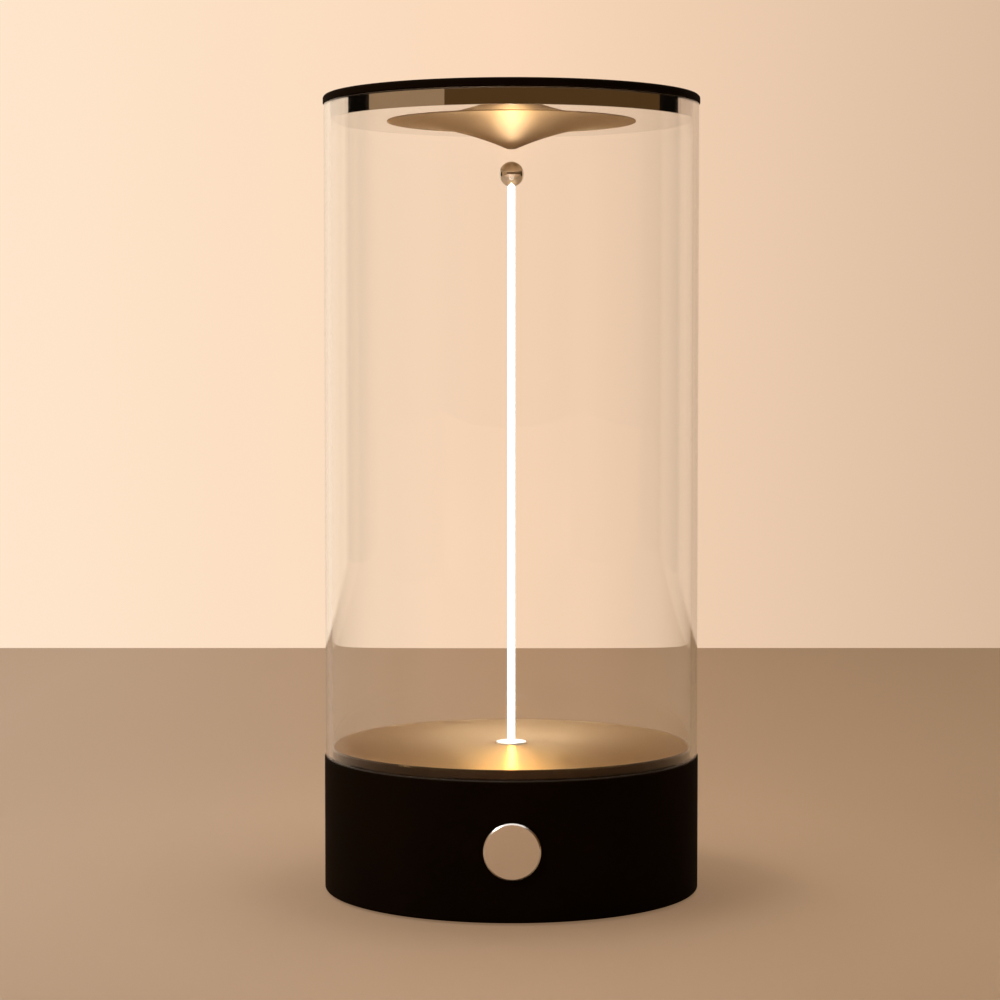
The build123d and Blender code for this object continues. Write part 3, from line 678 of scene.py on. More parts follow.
def lathe_tree() -> Tree:
    """Tree that turns a profile of (radius, 0, height) points about Z.

    Returns:
        The tree, with inputs Steps, Count and Material.
    """
    tree = Tree("turned_piece")
    steps = tree.size("Steps", "NodeSocketInt", 256)
    count = tree.size("Count", "NodeSocketInt", 2)
    material = tree.size("Material", "NodeSocketMaterial")
    grid = tree.add("GeometryNodeMeshGrid")
    tree.join(tree.math("ADD", steps, 1.0), grid.inputs["Vertices X"])
    tree.join(count, grid.inputs["Vertices Y"])
    index = tree.add("GeometryNodeInputIndex").outputs[0]
    column = tree.math("FLOOR", tree.math("DIVIDE", tree.math("ADD", index, 0.5), count))
    row = tree.math("SUBTRACT", index, tree.math("MULTIPLY", column, count))
    angle = tree.math("MULTIPLY", tree.math("DIVIDE", column, steps), 2.0 * math.pi)
    profile = tree.add("GeometryNodeSampleIndex", data_type="FLOAT_VECTOR", domain="POINT")
    tree.join(tree.entry.outputs["Geometry"], profile.inputs["Geometry"])
    position = tree.add("GeometryNodeInputPosition").outputs[0]
    tree.join(position, profile.inputs["Value"])
    tree.join(row, profile.inputs["Index"])
    axes = tree.axes(profile.outputs[0])
    along_x = tree.math("MULTIPLY", axes["X"], tree.math("COSINE", angle))
    along_y = tree.math("MULTIPLY", axes["X"], tree.math("SINE", angle))
    place = tree.fed(tree.add("ShaderNodeCombineXYZ"), along_x, along_y, axes["Z"])
    move = tree.add("GeometryNodeSetPosition")
    tree.join(grid.outputs["Mesh"], move.inputs["Geometry"])
    tree.join(place, move.inputs["Position"])
    weld = tree.add("GeometryNodeMergeByDistance")
    tree.join(move.outputs[0], weld.inputs["Geometry"])
    tree.join(WELD, weld.inputs["Distance"])
    tree.end(weld.outputs[0], material)
    return tree


def spot_tree() -> Tree:
    """Tree that sets copies of a piece at the points of a mesh.

    Returns:
        The tree, with inputs Piece and Material.
    """
    tree = Tree("pieces_at_points")
    piece = tree.size("Piece", "NodeSocketObject")
    material = tree.size("Material", "NodeSocketMaterial")
    shape = tree.add("GeometryNodeObjectInfo")
    tree.join(piece, shape.inputs["Object"])
    copies = tree.add("GeometryNodeInstanceOnPoints")
    tree.join(tree.entry.outputs["Geometry"], copies.inputs["Points"])
    tree.join(shape.outputs["Geometry"], copies.inputs["Instance"])
    tree.end(copies.outputs[0], material)
    return tree


def row_tree() -> Tree:
    """Tree that repeats a small block along X.

    Returns:
        The tree, with inputs Count, Start, Pitch, Block and Material.
    """
    tree = Tree("row_of_contacts")
    count = tree.size("Count", "NodeSocketInt", 12)
    start = tree.size("Start", "NodeSocketVector")
    pitch = tree.size("Pitch", "NodeSocketVector")
    block = tree.size("Block", "NodeSocketVector")
    material = tree.size("Material", "NodeSocketMaterial")
    line = tree.add("GeometryNodeMeshLine")
    tree.join(count, line.inputs["Count"])
    tree.join(start, line.inputs["Start Location"])
    tree.join(pitch, line.inputs["Offset"])
    shape = tree.add("GeometryNodeMeshCube")
    tree.join(block, shape.inputs["Size"])
    copies = tree.add("GeometryNodeInstanceOnPoints")
    tree.join(line.outputs[0], copies.inputs["Points"])
    tree.join(shape.outputs["Mesh"], copies.inputs["Instance"])
    tree.end(copies.outputs[0], material)
    return tree


def arc(centre: Vector, first: Vector, last: Vector, steps: int) -> list[Vector]:
    """Points along the shorter arc between two spokes of equal length.

    Args:
        centre: The arc's centre.
        first: Spoke to its start.
        last: Spoke to its end.
        steps: Pieces that the arc is split in.

    Returns:
        The points, both ends included.
    """
    start = math.atan2(first.y, first.x)
    sweep = math.atan2(first.x * last.y - first.y * last.x, first.dot(last))
    turns = [start + sweep * step / steps for step in range(steps + 1)]
    return [centre + first.length * Vector((math.cos(turn), math.sin(turn))) for turn in turns]


@dataclass
class Corner:
    """One corner of a turned profile, in millimetres."""

    radius: float
    height: float
    round: float = 0.0


@dataclass
class Workshop:
    """The trees that make repeated and turned pieces, built once."""

    lathe: Tree = field(default_factory=lathe_tree)
    spots: Tree = field(default_factory=spot_tree)
    row: Tree = field(default_factory=row_tree)

    def profile(self, corners: list[Corner], closed: bool) -> list[Vector]:
        """Points of a profile with its corners rounded.

        Args:
            corners: Corners in order, with the solid on the left of the way round.
            closed: True for a ring, False for a piece that meets the axis at both ends.

        Returns:
            Points as (radius, 0, height) in metres.
        """
        points: list[Vector] = []
        count = len(corners)
        for number, corner in enumerate(corners):
            here = Vector((corner.radius, corner.height))
            if corner.round == 0.0:
                points.append(here)
                continue
            before = corners[(number - 1) % count]
            after = corners[(number + 1) % count]
            back = (Vector((before.radius, before.height)) - here).normalized()
            ahead = (Vector((after.radius, after.height)) - here).normalized()
            half = math.acos(max(-1.0, min(1.0, back.dot(ahead)))) / 2.0
            reach = corner.round / math.tan(half)
            centre = here + (back + ahead).normalized() * (corner.round / math.sin(half))
            first = here + back * reach - centre
            last = here + ahead * reach - centre
            points.append(here + back * reach * ROUND_GUARD)
            points += arc(centre, first, last, ROUND_STEPS)
            points.append(here + ahead * reach * ROUND_GUARD)
        if closed:
            points.append(points[0].copy())
        return [Vector((point.x, 0.0, point.y)) * MM for point in points]

    def turn(self, name: str, points: list[Vector], finish: Finish, steps: int = 256) -> bpy.types.Object:
        """Turns a profile about Z.

        Args:
            name: The piece's name.
            points: Profile points as (radius, 0, height) in metres.
            finish: The piece's finish.
            steps: Faces round the piece.

        Returns:
            The piece.
        """
        start = mesh_of(name, points, [])
        values = {"Steps": steps, "Count": len(points), "Material": finish.material()}
        piece = object_of(name, self.lathe.apply(name, start, **values))
        tidy(piece)
        return piece

    def ring(self, name: str, corners: list[Corner], finish: Finish, steps: int = 256) -> bpy.types.Object:
        """Turns a piece that is open along the axis."""
        return self.turn(name, self.profile(corners, True), finish, steps)

    def solid(self, name: str, corners: list[Corner], finish: Finish, steps: int) -> bpy.types.Object:
        """Turns a piece that meets the axis at both ends."""
        return self.turn(name, self.profile(corners, False), finish, steps)

    def scatter(
        self, name: str, shape: bpy.types.Object, points: list[Vector], finish: Finish
    ) -> bpy.types.Object:
        """Sets copies of a shape at points and removes the shape.

        Args:
            name: The piece's name.
            shape: Object to copy, built about the origin.
            points: Places in metres.
            finish: The piece's finish.

        Returns:
            The piece.
        """
        values = {"Piece": shape, "Material": finish.material()}
        mesh = self.spots.apply(name, mesh_of(name, points, []), **values)
        bpy.data.objects.remove(shape)
        piece = object_of(name, mesh)
        tidy(piece)
        return piece


def tidy(piece: bpy.types.Object) -> None:
    """Closes seams, points faces outwards and shades a piece smooth up to an edge angle."""
    mesh = piece.data
    work = bmesh.new()
    work.from_mesh(mesh)
    bmesh.ops.remove_doubles(work, verts=work.verts, dist=SEAM)
    bmesh.ops.dissolve_degenerate(work, edges=work.edges, dist=SEAM)
    bmesh.ops.recalc_face_normals(work, faces=work.faces)
    work.to_mesh(mesh)
    work.free()
    for face in mesh.polygons:
        face.use_smooth = True
    mesh.set_sharp_from_angle(angle=CRISP)


def shift(x: float, y: float, z: float) -> Matrix:
    """Move by millimetres."""
    return Matrix.Translation(Vector((x, y, z)) * MM)


def tipped(angle: float) -> Matrix:
    """Turn about X by an angle in radians."""
    return Euler((angle, 0.0, 0.0)).to_matrix().to_4x4()


def polar(radius: float, angle: float, height: float) -> Vector:
    """Point in metres from a radius and a height in millimetres and an angle in radians."""
    return Vector((radius * math.cos(angle), radius * math.sin(angle), height)) * MM


def moved(piece: bpy.types.Object, matrix: Matrix) -> bpy.types.Object:
    """Moves a piece's mesh, so that its object stays at the origin."""
    piece.data.transform(matrix)
    piece.data.update()
    return piece


def cut(piece: bpy.types.Object, tool: bpy.types.Object) -> None:
    """Cuts a tool's shape out of a piece and removes the tool.

    Args:
        piece: Piece that is cut.
        tool: Closed mesh object.
    """
    modifier = piece.modifiers.new("cut", "BOOLEAN")
    modifier.operation = "DIFFERENCE"
    modifier.solver = "EXACT"
    modifier.object = tool
    depsgraph = bpy.context.evaluated_depsgraph_get()
    mesh = bpy.data.meshes.new_from_object(piece.evaluated_get(depsgraph))
    piece.modifiers.remove(modifier)
    old = piece.data
    piece.data = mesh
    mesh.name = piece.name
    bpy.data.meshes.remove(old)
    bpy.data.objects.remove(tool)


def rings_mesh(name: str, rings: list[list[Vector]]) -> bpy.types.Object:
    """Skins a stack of rings of equal length and closes both ends.

    Args:
        name: The piece's name.
        rings: Rings of points in order.

    Returns:
        The piece.
    """
    points = [point for ring in rings for point in ring]
    count = len(rings[0])
    faces: list[tuple[int, ...]] = []
    for level in range(len(rings) - 1):
        for step in range(count):
            low = level * count
            after = (step + 1) % count
            faces.append((low + step, low + after, low + count + after, low + count + step))
    faces.append(tuple(reversed(range(count))))
    faces.append(tuple(range(len(points) - count, len(points))))
    return object_of(name, mesh_of(name, points, faces))


def circle(radius: float, height: float, count: int = 48) -> list[Vector]:
    """Circle as a ring of points in metres, by its radius and height in millimetres."""
    return [polar(radius, 2.0 * math.pi * step / count, height) for step in range(count)]


def hexagon(flat: float, height: float, count: int = 48) -> list[Vector]:
    """Hexagon's outline as a ring of points, by half its width across flats."""
    ring: list[Vector] = []
    for step in range(count):
        angle = 2.0 * math.pi * step / count
        side = (angle + math.pi / 6.0) % (math.pi / 3.0) - math.pi / 6.0
        ring.append(polar(flat / math.cos(side), angle, height))
    return ring


def slot_ring(width: float, height: float, depth: float, count: int = 24) -> list[Vector]:
    """Slot with round ends, seen along Y, as a ring of points in metres.

    Args:
        width: Overall width in millimetres.
        height: Overall height in millimetres.
        depth: Place along Y in millimetres.
        count: Points on each round end.

    Returns:
        The ring, about the origin in X and Z.
    """
    radius = height / 2.0
    middle = width / 2.0 - radius
    ring: list[Vector] = []
    for side in (1.0, -1.0):
        for step in range(count):
            angle = -math.pi / 2.0 + math.pi * step / (count - 1)
            x = side * (middle + radius * math.cos(angle))
            z = side * radius * math.sin(angle)
            ring.append(Vector((x, depth, z)) * MM)
    return ring


def settle(piece: bpy.types.Object, body: Body, slot: str, *nodes: str) -> None:
    """Makes a piece ride on a body and stand for CAD nodes.

    Args:
        piece: The piece.
        body: Body that it rides on.
        slot: Record slot that its finish belongs to; not used.
        nodes: CAD nodes that it replaces.
    """
    if nodes:
        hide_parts(*nodes)
    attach(piece, body.value)
    log.info("%s on %s for %s", piece.name, body.value, ", ".join(nodes) or "nothing")


def dress(finish: Finish, *nodes: str) -> None:
    """Gives CAD nodes a finish.

    Args:
        finish: The finish.
        nodes: Nodes that keep their CAD shape.
    """
    for node in nodes:
        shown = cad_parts[node]
        if not shown.material_slots:
            shown.data.materials.append(None)
        for place in shown.material_slots:
            place.material = finish.material()
        log.info("%s keeps its shape, in %s", node, finish.name)


# Rings of the cover's screw as (radius, height), and of its socket as (half width, height)
SCREW_RINGS = ((1.5, 10.0), (1.5, 0.0), (2.7, 0.0), (2.7, -1.15), (2.58, -1.45), (2.3, -1.65), (2.0, -1.7))
HEXAGON_RINGS = ((1.3, -1.7), (1.25, -1.65), (1.25, -0.7))

# Rings of the charging socket's shell as (shrink, place) and of its tongue as (width, height, place)
PORT_RINGS = ((0.0, -7.5), (0.0, -0.15), (0.1, 0.0), (0.45, 0.0), (0.6, -0.2), (0.6, -6.3))
TONGUE_RINGS = ((6.7, 0.69, -6.35), (6.7, 0.69, -1.0), (6.4, 0.45, -0.72))


@dataclass
class BaseDrum:
    """Black drum with its feet, screws and charging socket. Sizes in millimetres."""

    shop: Workshop
    radius: float = 60.0
    rim: float = 43.4
    foot: float = 0.6
    wall: float = 3.0
    ledge: float = 3.6
    opening: float = 46.0
    button_radius: float = 9.0
    button_height: float = 22.4
    button_cut: Span = (-50.0, 15.0)
    port_height: float = 14.0
    port_width: float = 8.94
    port_depth: float = 3.26
    port_gap: float = 0.3
    port_mouth: float = 59.2
    port_cut: Span = (50.0, 65.0)
    contact_count: int = 12
    contact_start: Span = (-2.75, -3.0)
    contact_pitch: float = 0.5
    contact_size: Point = (0.26, 3.6, 0.73)
    screw_circle: float = 52.0
    screw_angles: tuple[float, ...] = (45.0, 135.0, 235.0, 305.0)
    screw_seat: float = 2.4
    foot_circle: float = 42.0
    foot_radius: float = 7.0
    foot_height: float = 1.6

    def shell(self) -> bpy.types.Object:
        """Turns the drum and cuts the holes for the button and the charging socket."""
        inner = self.radius - self.wall
        corners = [
            Corner(inner, self.foot, 0.2),
            Corner(self.radius, self.foot, 0.8),
            Corner(self.radius, self.rim, 0.3),
            Corner(self.opening, self.rim, 0.2),
            Corner(self.opening, self.rim - self.ledge, 0.2),
            Corner(inner, self.rim - self.ledge, 0.5),
        ]
        piece = self.shop.ring("drum_shell", corners, SHELL_BLACK)
        inside, length = self.button_cut
        tool = rings_mesh("button_tool", [circle(self.button_radius, end, 128) for end in (0.0, length)])
        moved(tool, shift(0.0, inside, self.button_height) @ tipped(math.pi / 2))
        tidy(tool)
        cut(piece, tool)
        width = self.port_width + 2.0 * self.port_gap
        height = self.port_depth + 2.0 * self.port_gap
        tool = rings_mesh("port_tool", [slot_ring(width, height, end) for end in self.port_cut])
        moved(tool, shift(0.0, 0.0, self.port_height))
        tidy(tool)
        cut(piece, tool)
        tidy(piece)
        return piece

    def feet(self) -> bpy.types.Object:
        """Sets four rubber feet, each with a shallow ring pressed in its tread."""
        corners = [
            Corner(0.0, 0.25),
            Corner(2.4, 0.25, 0.2),
            Corner(3.0, 0.0, 0.2),
            Corner(self.foot_radius, 0.0, 0.3),
            Corner(self.foot_radius, self.foot_height, 0.1),
            Corner(0.0, self.foot_height),
        ]
        pad = self.shop.solid("foot_pad", corners, FOOT_RUBBER, 64)
        spots = [polar(self.foot_circle, quarter * math.pi / 2, 0.0) for quarter in range(4)]
        return self.shop.scatter("rubber_feet", pad, spots, FOOT_RUBBER)

    def screws(self) -> bpy.types.Object:
        """Sets the cover's screws: rounded heads with a hexagon socket."""
        rings = [circle(*sizes) for sizes in SCREW_RINGS] + [hexagon(*sizes) for sizes in HEXAGON_RINGS]
        screw = rings_mesh("cover_screw", rings)
        angles = [math.radians(angle) for angle in self.screw_angles]
        spots = [polar(self.screw_circle, angle, self.screw_seat) for angle in angles]
        return self.shop.scatter("base_screws", screw, spots, SCREW_STEEL)

    def plain(self, name: str, rings: list[list[Vector]], finish: Finish) -> bpy.types.Object:
        """Skins rings at the socket's height and gives them a finish."""
        piece = moved(rings_mesh(name, rings), shift(0.0, 0.0, self.port_height))
        piece.data.materials.append(finish.material())
        tidy(piece)
        return piece

    def socket(self) -> list[bpy.types.Object]:
        """Builds the charging socket: folded shell, contact tongue and its contacts."""
        width = self.port_width
        height = self.port_depth
        mouth = self.port_mouth
        rings = [slot_ring(width - less, height - less, mouth + place) for less, place in PORT_RINGS]
        shell = self.plain("port_shell", rings, NICKEL)
        rings = [slot_ring(wide, thick, mouth + place) for wide, thick, place in TONGUE_RINGS]
        tongue = self.plain("port_tongue", rings, BLACK_PLASTIC)
        start = mesh_of("contacts", [Vector((0.0, 0.0, 0.0))], [])
        first, place = self.contact_start
        values = {
            "Count": self.contact_count,
            "Start": Vector((first, mouth + place, self.port_height)) * MM,
            "Pitch": Vector((self.contact_pitch, 0.0, 0.0)) * MM,
            "Block": Vector(self.contact_size) * MM,
            "Material": CONTACT_GOLD.material(),
        }
        contacts = object_of("port_contacts", self.shop.row.apply("port_contacts", start, **values))
        tidy(contacts)
        return [shell, tongue, contacts]

    def build(self) -> None:
        """Builds and dresses the drum."""
        settle(self.shell(), Body.BASE, "black_anodised", "base_shell")
        settle(self.feet(), Body.BASE, "foot_rubber", "foot_pads")
        settle(self.screws(), Body.BASE, "screw_steel", "cover_screws")
        shell, tongue, contacts = self.socket()
        settle(shell, Body.BASE, "nickel", "usb_socket")
        settle(tongue, Body.BASE, "black_plastic")
        settle(contacts, Body.BASE, "nickel")
        dress(BLACK_PLASTIC, "bottom_cover")


@dataclass
class PushButton:
    """Round metal button on the front. Sizes in millimetres."""

    shop: Workshop
    radius: float = 8.7
    height: float = 22.4
    front: float = -60.8
    thickness: float = 3.2
    chamfer: float = 0.45
    stem_radius: float = 2.5
    stem_end: float = -46.63
    groove: float = -49.53
    groove_width: float = 0.6
    groove_depth: float = 0.5

    def finish(self) -> ButtonMetal:
        """Finish with its marks centred on the button."""
        centre = (0.0, 0.0, self.height * MM)
        face = (self.radius - self.chamfer + 0.02) * MM
        return ButtonMetal("button_metal", (0.86, 0.83, 0.80), 0.3, 0.26, centre, face)

    def cap(self) -> bpy.types.Object:
        """Turns the cap with its stem and lays it along Y."""
        neck = self.stem_radius - self.groove_depth
        groove = self.groove - self.front
        corners = [
            Corner(0.0, 0.0),
            Corner(self.radius - self.chamfer, 0.0, 0.04),
            Corner(self.radius, self.chamfer, 0.04),
            Corner(self.radius, self.thickness, 0.1),
            Corner(self.stem_radius, self.thickness, 0.2),
            Corner(self.stem_radius, groove),
            Corner(neck, groove),
            Corner(neck, groove + self.groove_width),
            Corner(self.stem_radius, groove + self.groove_width),
            Corner(self.stem_radius, self.stem_end - self.front, 0.2),
            Corner(0.0, self.stem_end - self.front),
        ]
        piece = self.shop.solid("button_knob", corners, self.finish(), 160)
        return moved(piece, shift(0.0, self.front, self.height) @ tipped(-math.pi / 2))

    def build(self) -> None:
        """Builds and dresses the button and its switch."""
        settle(self.cap(), Body.BUTTON, "satin_metal", "button_cap")
        dress(SCREW_STEEL, "button_clip", "bracket_screws")
        dress(IVORY_PLASTIC, "switch_plunger")
        dress(BLACK_PLASTIC, "switch_bracket")
        dress(BOARD_MASK, "switch_board")
        dress(CHIP_BLACK, "tact_switch")
        dress(LEAD_WHITE, "switch_leads")


@dataclass
class Deck:
    """Turned bronze deck with the collar that holds the rod's foot. Sizes in millimetres."""

    shop: Workshop
    radius: float = 57.55
    rim: float = 43.4
    rise: float = 3.4
    chamfer: float = 0.5
    spigot: float = 45.85
    spigot_depth: float = 2.4
    hole: float = 3.96
    flange: float = 4.8
    flange_height: float = 0.6
    shank: float = 3.9
    collar_length: float = 9.4
    bore: float = 2.0
    pocket: float = 2.9
    shoulder: float = 5.4
    level: float = 0.9

    def plate(self) -> bpy.types.Object:
        """Turns the deck and gives its upright edge a polished metal whose near-black colour is painted
        shade.
        """
        top = self.rim + self.rise
        corners = [
            Corner(self.hole, self.rim - self.spigot_depth, 0.1),
            Corner(self.spigot, self.rim - self.spigot_depth, 0.1),
            Corner(self.spigot, self.rim),
            Corner(self.radius, self.rim, 0.05),
            Corner(self.radius, top - self.chamfer, 0.08),
            Corner(self.radius - self.chamfer, top, 0.08),
            Corner(self.hole, top, 0.05),
        ]
        piece = self.shop.ring("bronze_deck", corners, DECK_BRONZE, 320)
        # Upright faces above the rim take the near-black metal: painted shade on the deck's side.
        piece.data.materials.append(DECK_SIDE_SHADE.material())
        for face in piece.data.polygons:
            if abs(face.normal.z) < self.level and face.center.z > self.rim * MM:
                face.material_index = 1
        return piece

    def collar(self) -> bpy.types.Object:
        """Turns the collar."""
        top = self.rim + self.rise
        corners = [
            Corner(self.pocket, top - self.collar_length),
            Corner(self.shank, top - self.collar_length, 0.1),
            Corner(self.shank, top),
            Corner(self.flange, top, 0.05),
            Corner(self.flange, top + self.flange_height, 0.2),
            Corner(self.bore, top + self.flange_height, 0.1),
            Corner(self.bore, top - self.shoulder),
            Corner(self.pocket, top - self.shoulder),
        ]
        return self.shop.ring("rod_collar", corners, COLLAR_METAL, 128)

    def build(self) -> None:
        """Builds and dresses the deck."""
        settle(self.plate(), Body.BASE, "bronze", "deck_plate")
        settle(self.collar(), Body.BASE, "bright_metal", "filament_collar")
        dress(SCREW_STEEL, "deck_screws", "collar_nut")
        dress(LEAD_WHITE, "filament_leads")


@dataclass
class GlowingRod:
    """Rod of light with the ball on its tip. Sizes in millimetres."""

    shop: Workshop
    radius: float = 1.4
    core_radius: float = 1.0
    core_step: float = 3.0
    ball: float = 4.0
    ball_height: float = 229.1
    ball_gap: float = 0.06
    ball_steps: int = 64

    def rod(self) -> bpy.types.Object:
        """Turns the milky sheath."""
        corners = [
            Corner(0.0, ROD_BOTTOM),
            Corner(self.radius, ROD_BOTTOM, 0.2),
            Corner(self.radius, ROD_TOP, 0.5),
            Corner(0.0, ROD_TOP),
        ]
        return self.shop.solid("light_rod", corners, ROD_GLOW, 48)

    def core(self) -> bpy.types.Object:
        """Turns the light strip in its round coat, in short faces that share out the light."""
        low, high = (corner[2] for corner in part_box("led_strip"))
        radius = self.core_radius * MM
        count = round((high - low) / (self.core_step * MM))
        heights = [low + (high - low) * step / count for step in range(count + 1)]
        points = [Vector((0.0, 0.0, low))]
        points += [Vector((radius, 0.0, height)) for height in heights]
        points.append(Vector((0.0, 0.0, high)))
        return self.shop.turn("light_core", points, CORE_GLOW, 24)

    def tip(self) -> bpy.types.Object:
        """Turns the ball with the hole that the rod stands in."""
        hole = self.radius + self.ball_gap
        low = math.acos(-math.sqrt(1.0 - (hole / self.ball) ** 2))
        points = []
        for step in range(self.ball_steps + 1):
            angle = low * step / self.ball_steps
            reach = self.ball * math.sin(angle)
            points.append(Vector((reach, 0.0, self.ball_height + self.ball * math.cos(angle))) * MM)
        points.append(Vector((hole, 0.0, ROD_TOP)) * MM)
        points.append(Vector((0.0, 0.0, ROD_TOP)) * MM)
        return self.shop.turn("steel_tip", points, BALL_STEEL, 128)

    def build(self) -> None:
        """Builds and dresses the rod."""
        settle(self.rod(), Body.FILAMENT, "filament_glow", "filament_sheath")
        settle(self.tip(), Body.FILAMENT, "ball_steel", "steel_ball")
        settle(self.core(), Body.FILAMENT, "filament_glow", "led_strip")
        dress(COLLAR_METAL, "filament_ferrule")


@dataclass
class GlassTube:
    """Clear tube and the seals at its ends. Sizes in millimetres."""

    shop: Workshop
    outer: float = 59.7
    wall: float = 2.0
    bottom: float = 43.8
    top: float = 250.8
    edge: float = 0.2
    rim: float = 0.06

    def tube(self) -> bpy.types.Object:
        """Turns the tube with fire-polished edges."""
        inner = self.outer - self.wall
        corners = [
            Corner(inner, self.bottom, self.edge),
            Corner(self.outer, self.bottom, self.edge),
            Corner(self.outer, self.top, self.rim),
            Corner(inner, self.top, self.rim),
        ]
        return self.shop.ring("clear_tube", corners, GLASS, 320)

    def build(self) -> None:
        """Builds and dresses the tube."""
        settle(self.tube(), Body.BASE, "clear_glass", "glass_tube")
        dress(SEAL, "tube_gasket")
        dress(SHELL_BLACK, "lid_gasket")


@dataclass
class Head:
    """Mirror plug, bronze horn and black lid. Sizes in millimetres."""

    shop: Workshop
    radius: float = 60.0
    lid_bottom: float = 251.2
    lid_thickness: float = 2.4
    lid_round: float = 1.0
    plug_radius: float = 57.55
    plug_bottom: float = 245.7
    plug_top: float = 250.8
    plug_round: float = 0.1
    horn_radius: float = 39.6
    horn_drop: float = 8.6
    horn_edge: float = 0.15
    horn_tip: float = 1.4
    horn_curve: float = 100.0
    horn_steps: int = 40
    magnet_radius: float = 5.15
    magnet_depth: float = 5.2

    def lid(self) -> bpy.types.Object:
        """Turns the lid."""
        top = self.lid_bottom + self.lid_thickness
        corners = [
            Corner(0.0, self.lid_bottom),
            Corner(self.radius, self.lid_bottom, 0.15),
            Corner(self.radius, top, self.lid_round),
            Corner(0.0, top),
        ]
        return self.shop.solid("black_lid", corners, SHELL_BLACK, 320)

    def plug(self) -> bpy.types.Object:
        """Turns the plug."""
        corners = [
            Corner(0.0, self.plug_bottom),
            Corner(self.plug_radius, self.plug_bottom, self.plug_round),
            Corner(self.plug_radius, self.plug_top, 0.1),
            Corner(0.0, self.plug_top),
        ]
        return self.shop.solid("mirror_plug", corners, MIRROR, 320)

    def horn(self) -> bpy.types.Object:
        """Turns the horn: one hollow arc from its thin rim to its tip."""
        tip = Vector((self.horn_tip, self.plug_bottom - self.horn_drop))
        rim = Vector((self.horn_radius, self.plug_bottom - self.horn_edge))
        chord = rim - tip
        middle = (rim + tip) / 2.0
        across = Vector((chord.y, -chord.x)).normalized()
        depth = math.sqrt(self.horn_curve**2 - (chord.length / 2.0) ** 2)
        centre = middle + across * depth
        points = [Vector((0.0, tip.y)), Vector((tip.x * 0.7, tip.y))]
        points += arc(centre, tip - centre, rim - centre, self.horn_steps)
        points += [
            Vector((self.horn_radius, self.plug_bottom)),
            Vector((self.magnet_radius, self.plug_bottom)),
            Vector((self.magnet_radius, self.plug_bottom - self.magnet_depth)),
            Vector((0.0, self.plug_bottom - self.magnet_depth)),
        ]
        profile = [Vector((point.x, 0.0, point.y)) * MM for point in points]
        return self.shop.turn("bronze_horn", profile, HORN_BRONZE_SHADED, 320)

    def build(self) -> None:
        """Builds and dresses the head."""
        settle(self.lid(), Body.BASE, "black_anodised", "top_lid")
        settle(self.plug(), Body.BASE, "mirror_metal", "top_plug")
        settle(self.horn(), Body.BASE, "bronze", "magnet_horn")
        dress(NICKEL, "horn_magnet")
        dress(SCREW_STEEL, "horn_screws")
        dress(SHELL_BLACK, "lid_tape")


class Works:
    """What the drum holds: ballast, cells, boards and leads, in their CAD shapes."""

    def build(self) -> None:
        """Dresses each piece."""
        dress(BALLAST_STEEL, "ballast_plate")
        dress(SCREW_STEEL, "ballast_screws", "cradle_screws", "board_screws")
        dress(BLACK_PLASTIC, "battery_cradle")
        dress(CELL_WRAP, "battery_cells")
        dress(NICKEL, "cell_strips")
        dress(BOARD_MASK, "main_board")
        dress(CHIP_BLACK, "driver_chips", "power_inductor")
        dress(IVORY_PLASTIC, "lead_sockets")
        dress(LEAD_RED, "battery_leads")


@dataclass(frozen=True)
class Backdrop(Finish):
    """Plain wall or table, seen from its front only.

    It shows its colours to the eye, to metal and to glass. They are painted light: lighter on one side and
    darker on the other as the lamps' light falls across it, and on the table brighter towards the front.
    """

    name: str
    left: Colour
    middle: Colour
    right: Colour
    half: float
    shown: float = 1.0
    cast: Colour = (1.0, 1.0, 1.0)
    painted_front_light: float = 1.0
    painted_front_light_span: Span = (-0.55, -0.2)

    def paint(self) -> bpy.types.Material:
        """Makes the material."""
        graph = Graph(self.name)
        axes = graph.axes(graph.place())
        # Painted light: the colours run from left to right as the lamps' light falls across the sheet.
        ramp = graph.add("ShaderNodeValToRGB")
        ramp.color_ramp.elements[0].color = (*self.left, 1.0)
        ramp.color_ramp.elements[1].color = (*self.right, 1.0)
        ramp.color_ramp.elements.new(0.5).color = (*self.middle, 1.0)
        graph.join(graph.mapped(axes["X"], (-self.half, self.half)), ramp.inputs["Fac"])
        # Painted light: the sheet grows brighter towards the front.
        front_light_gain = graph.mapped(axes["Y"], self.painted_front_light_span, (self.painted_front_light, 1.0))
        scale = graph.add("ShaderNodeVectorMath", operation="SCALE")
        graph.join(front_light_gain, scale.inputs["Scale"])
        tone = graph.fed(scale, ramp.outputs["Color"])
        shader = graph.surface(Base_Color=tone, Roughness=0.85, Specular_IOR_Level=0.1)
        light = graph.add("ShaderNodeEmission")
        graph.join(graph.product(tone, self.cast), light.inputs["Color"])
        path = graph.add("ShaderNodeLightPath")
        seen = graph.math("MAXIMUM", path.outputs["Is Camera Ray"], path.outputs["Is Glossy Ray"])
        seen = graph.math("MAXIMUM", seen, path.outputs["Is Transmission Ray"])
        seen = graph.math("MULTIPLY", seen, self.shown)
        front = graph.mix(seen, shader.outputs[0], light.outputs[0])
        behind = graph.add("ShaderNodeNewGeometry").outputs["Backfacing"]
        clear = graph.add("ShaderNodeBsdfTransparent")
        graph.show(graph.mix(behind, front, clear.outputs[0]))
        graph.material.cycles.emission_sampling = "NONE"
        return graph.material


# Table: painted light, lit at the left, shaded at the right and brighter towards the front.
TABLE_TOP = Backdrop(
    "table_top",
    (0.5, 0.39, 0.295),
    (0.445, 0.31, 0.205),
    (0.365, 0.26, 0.165),
    half=0.24,
    shown=0.5,
    cast=(0.95, 0.84, 0.73),
    painted_front_light=2.0,
)
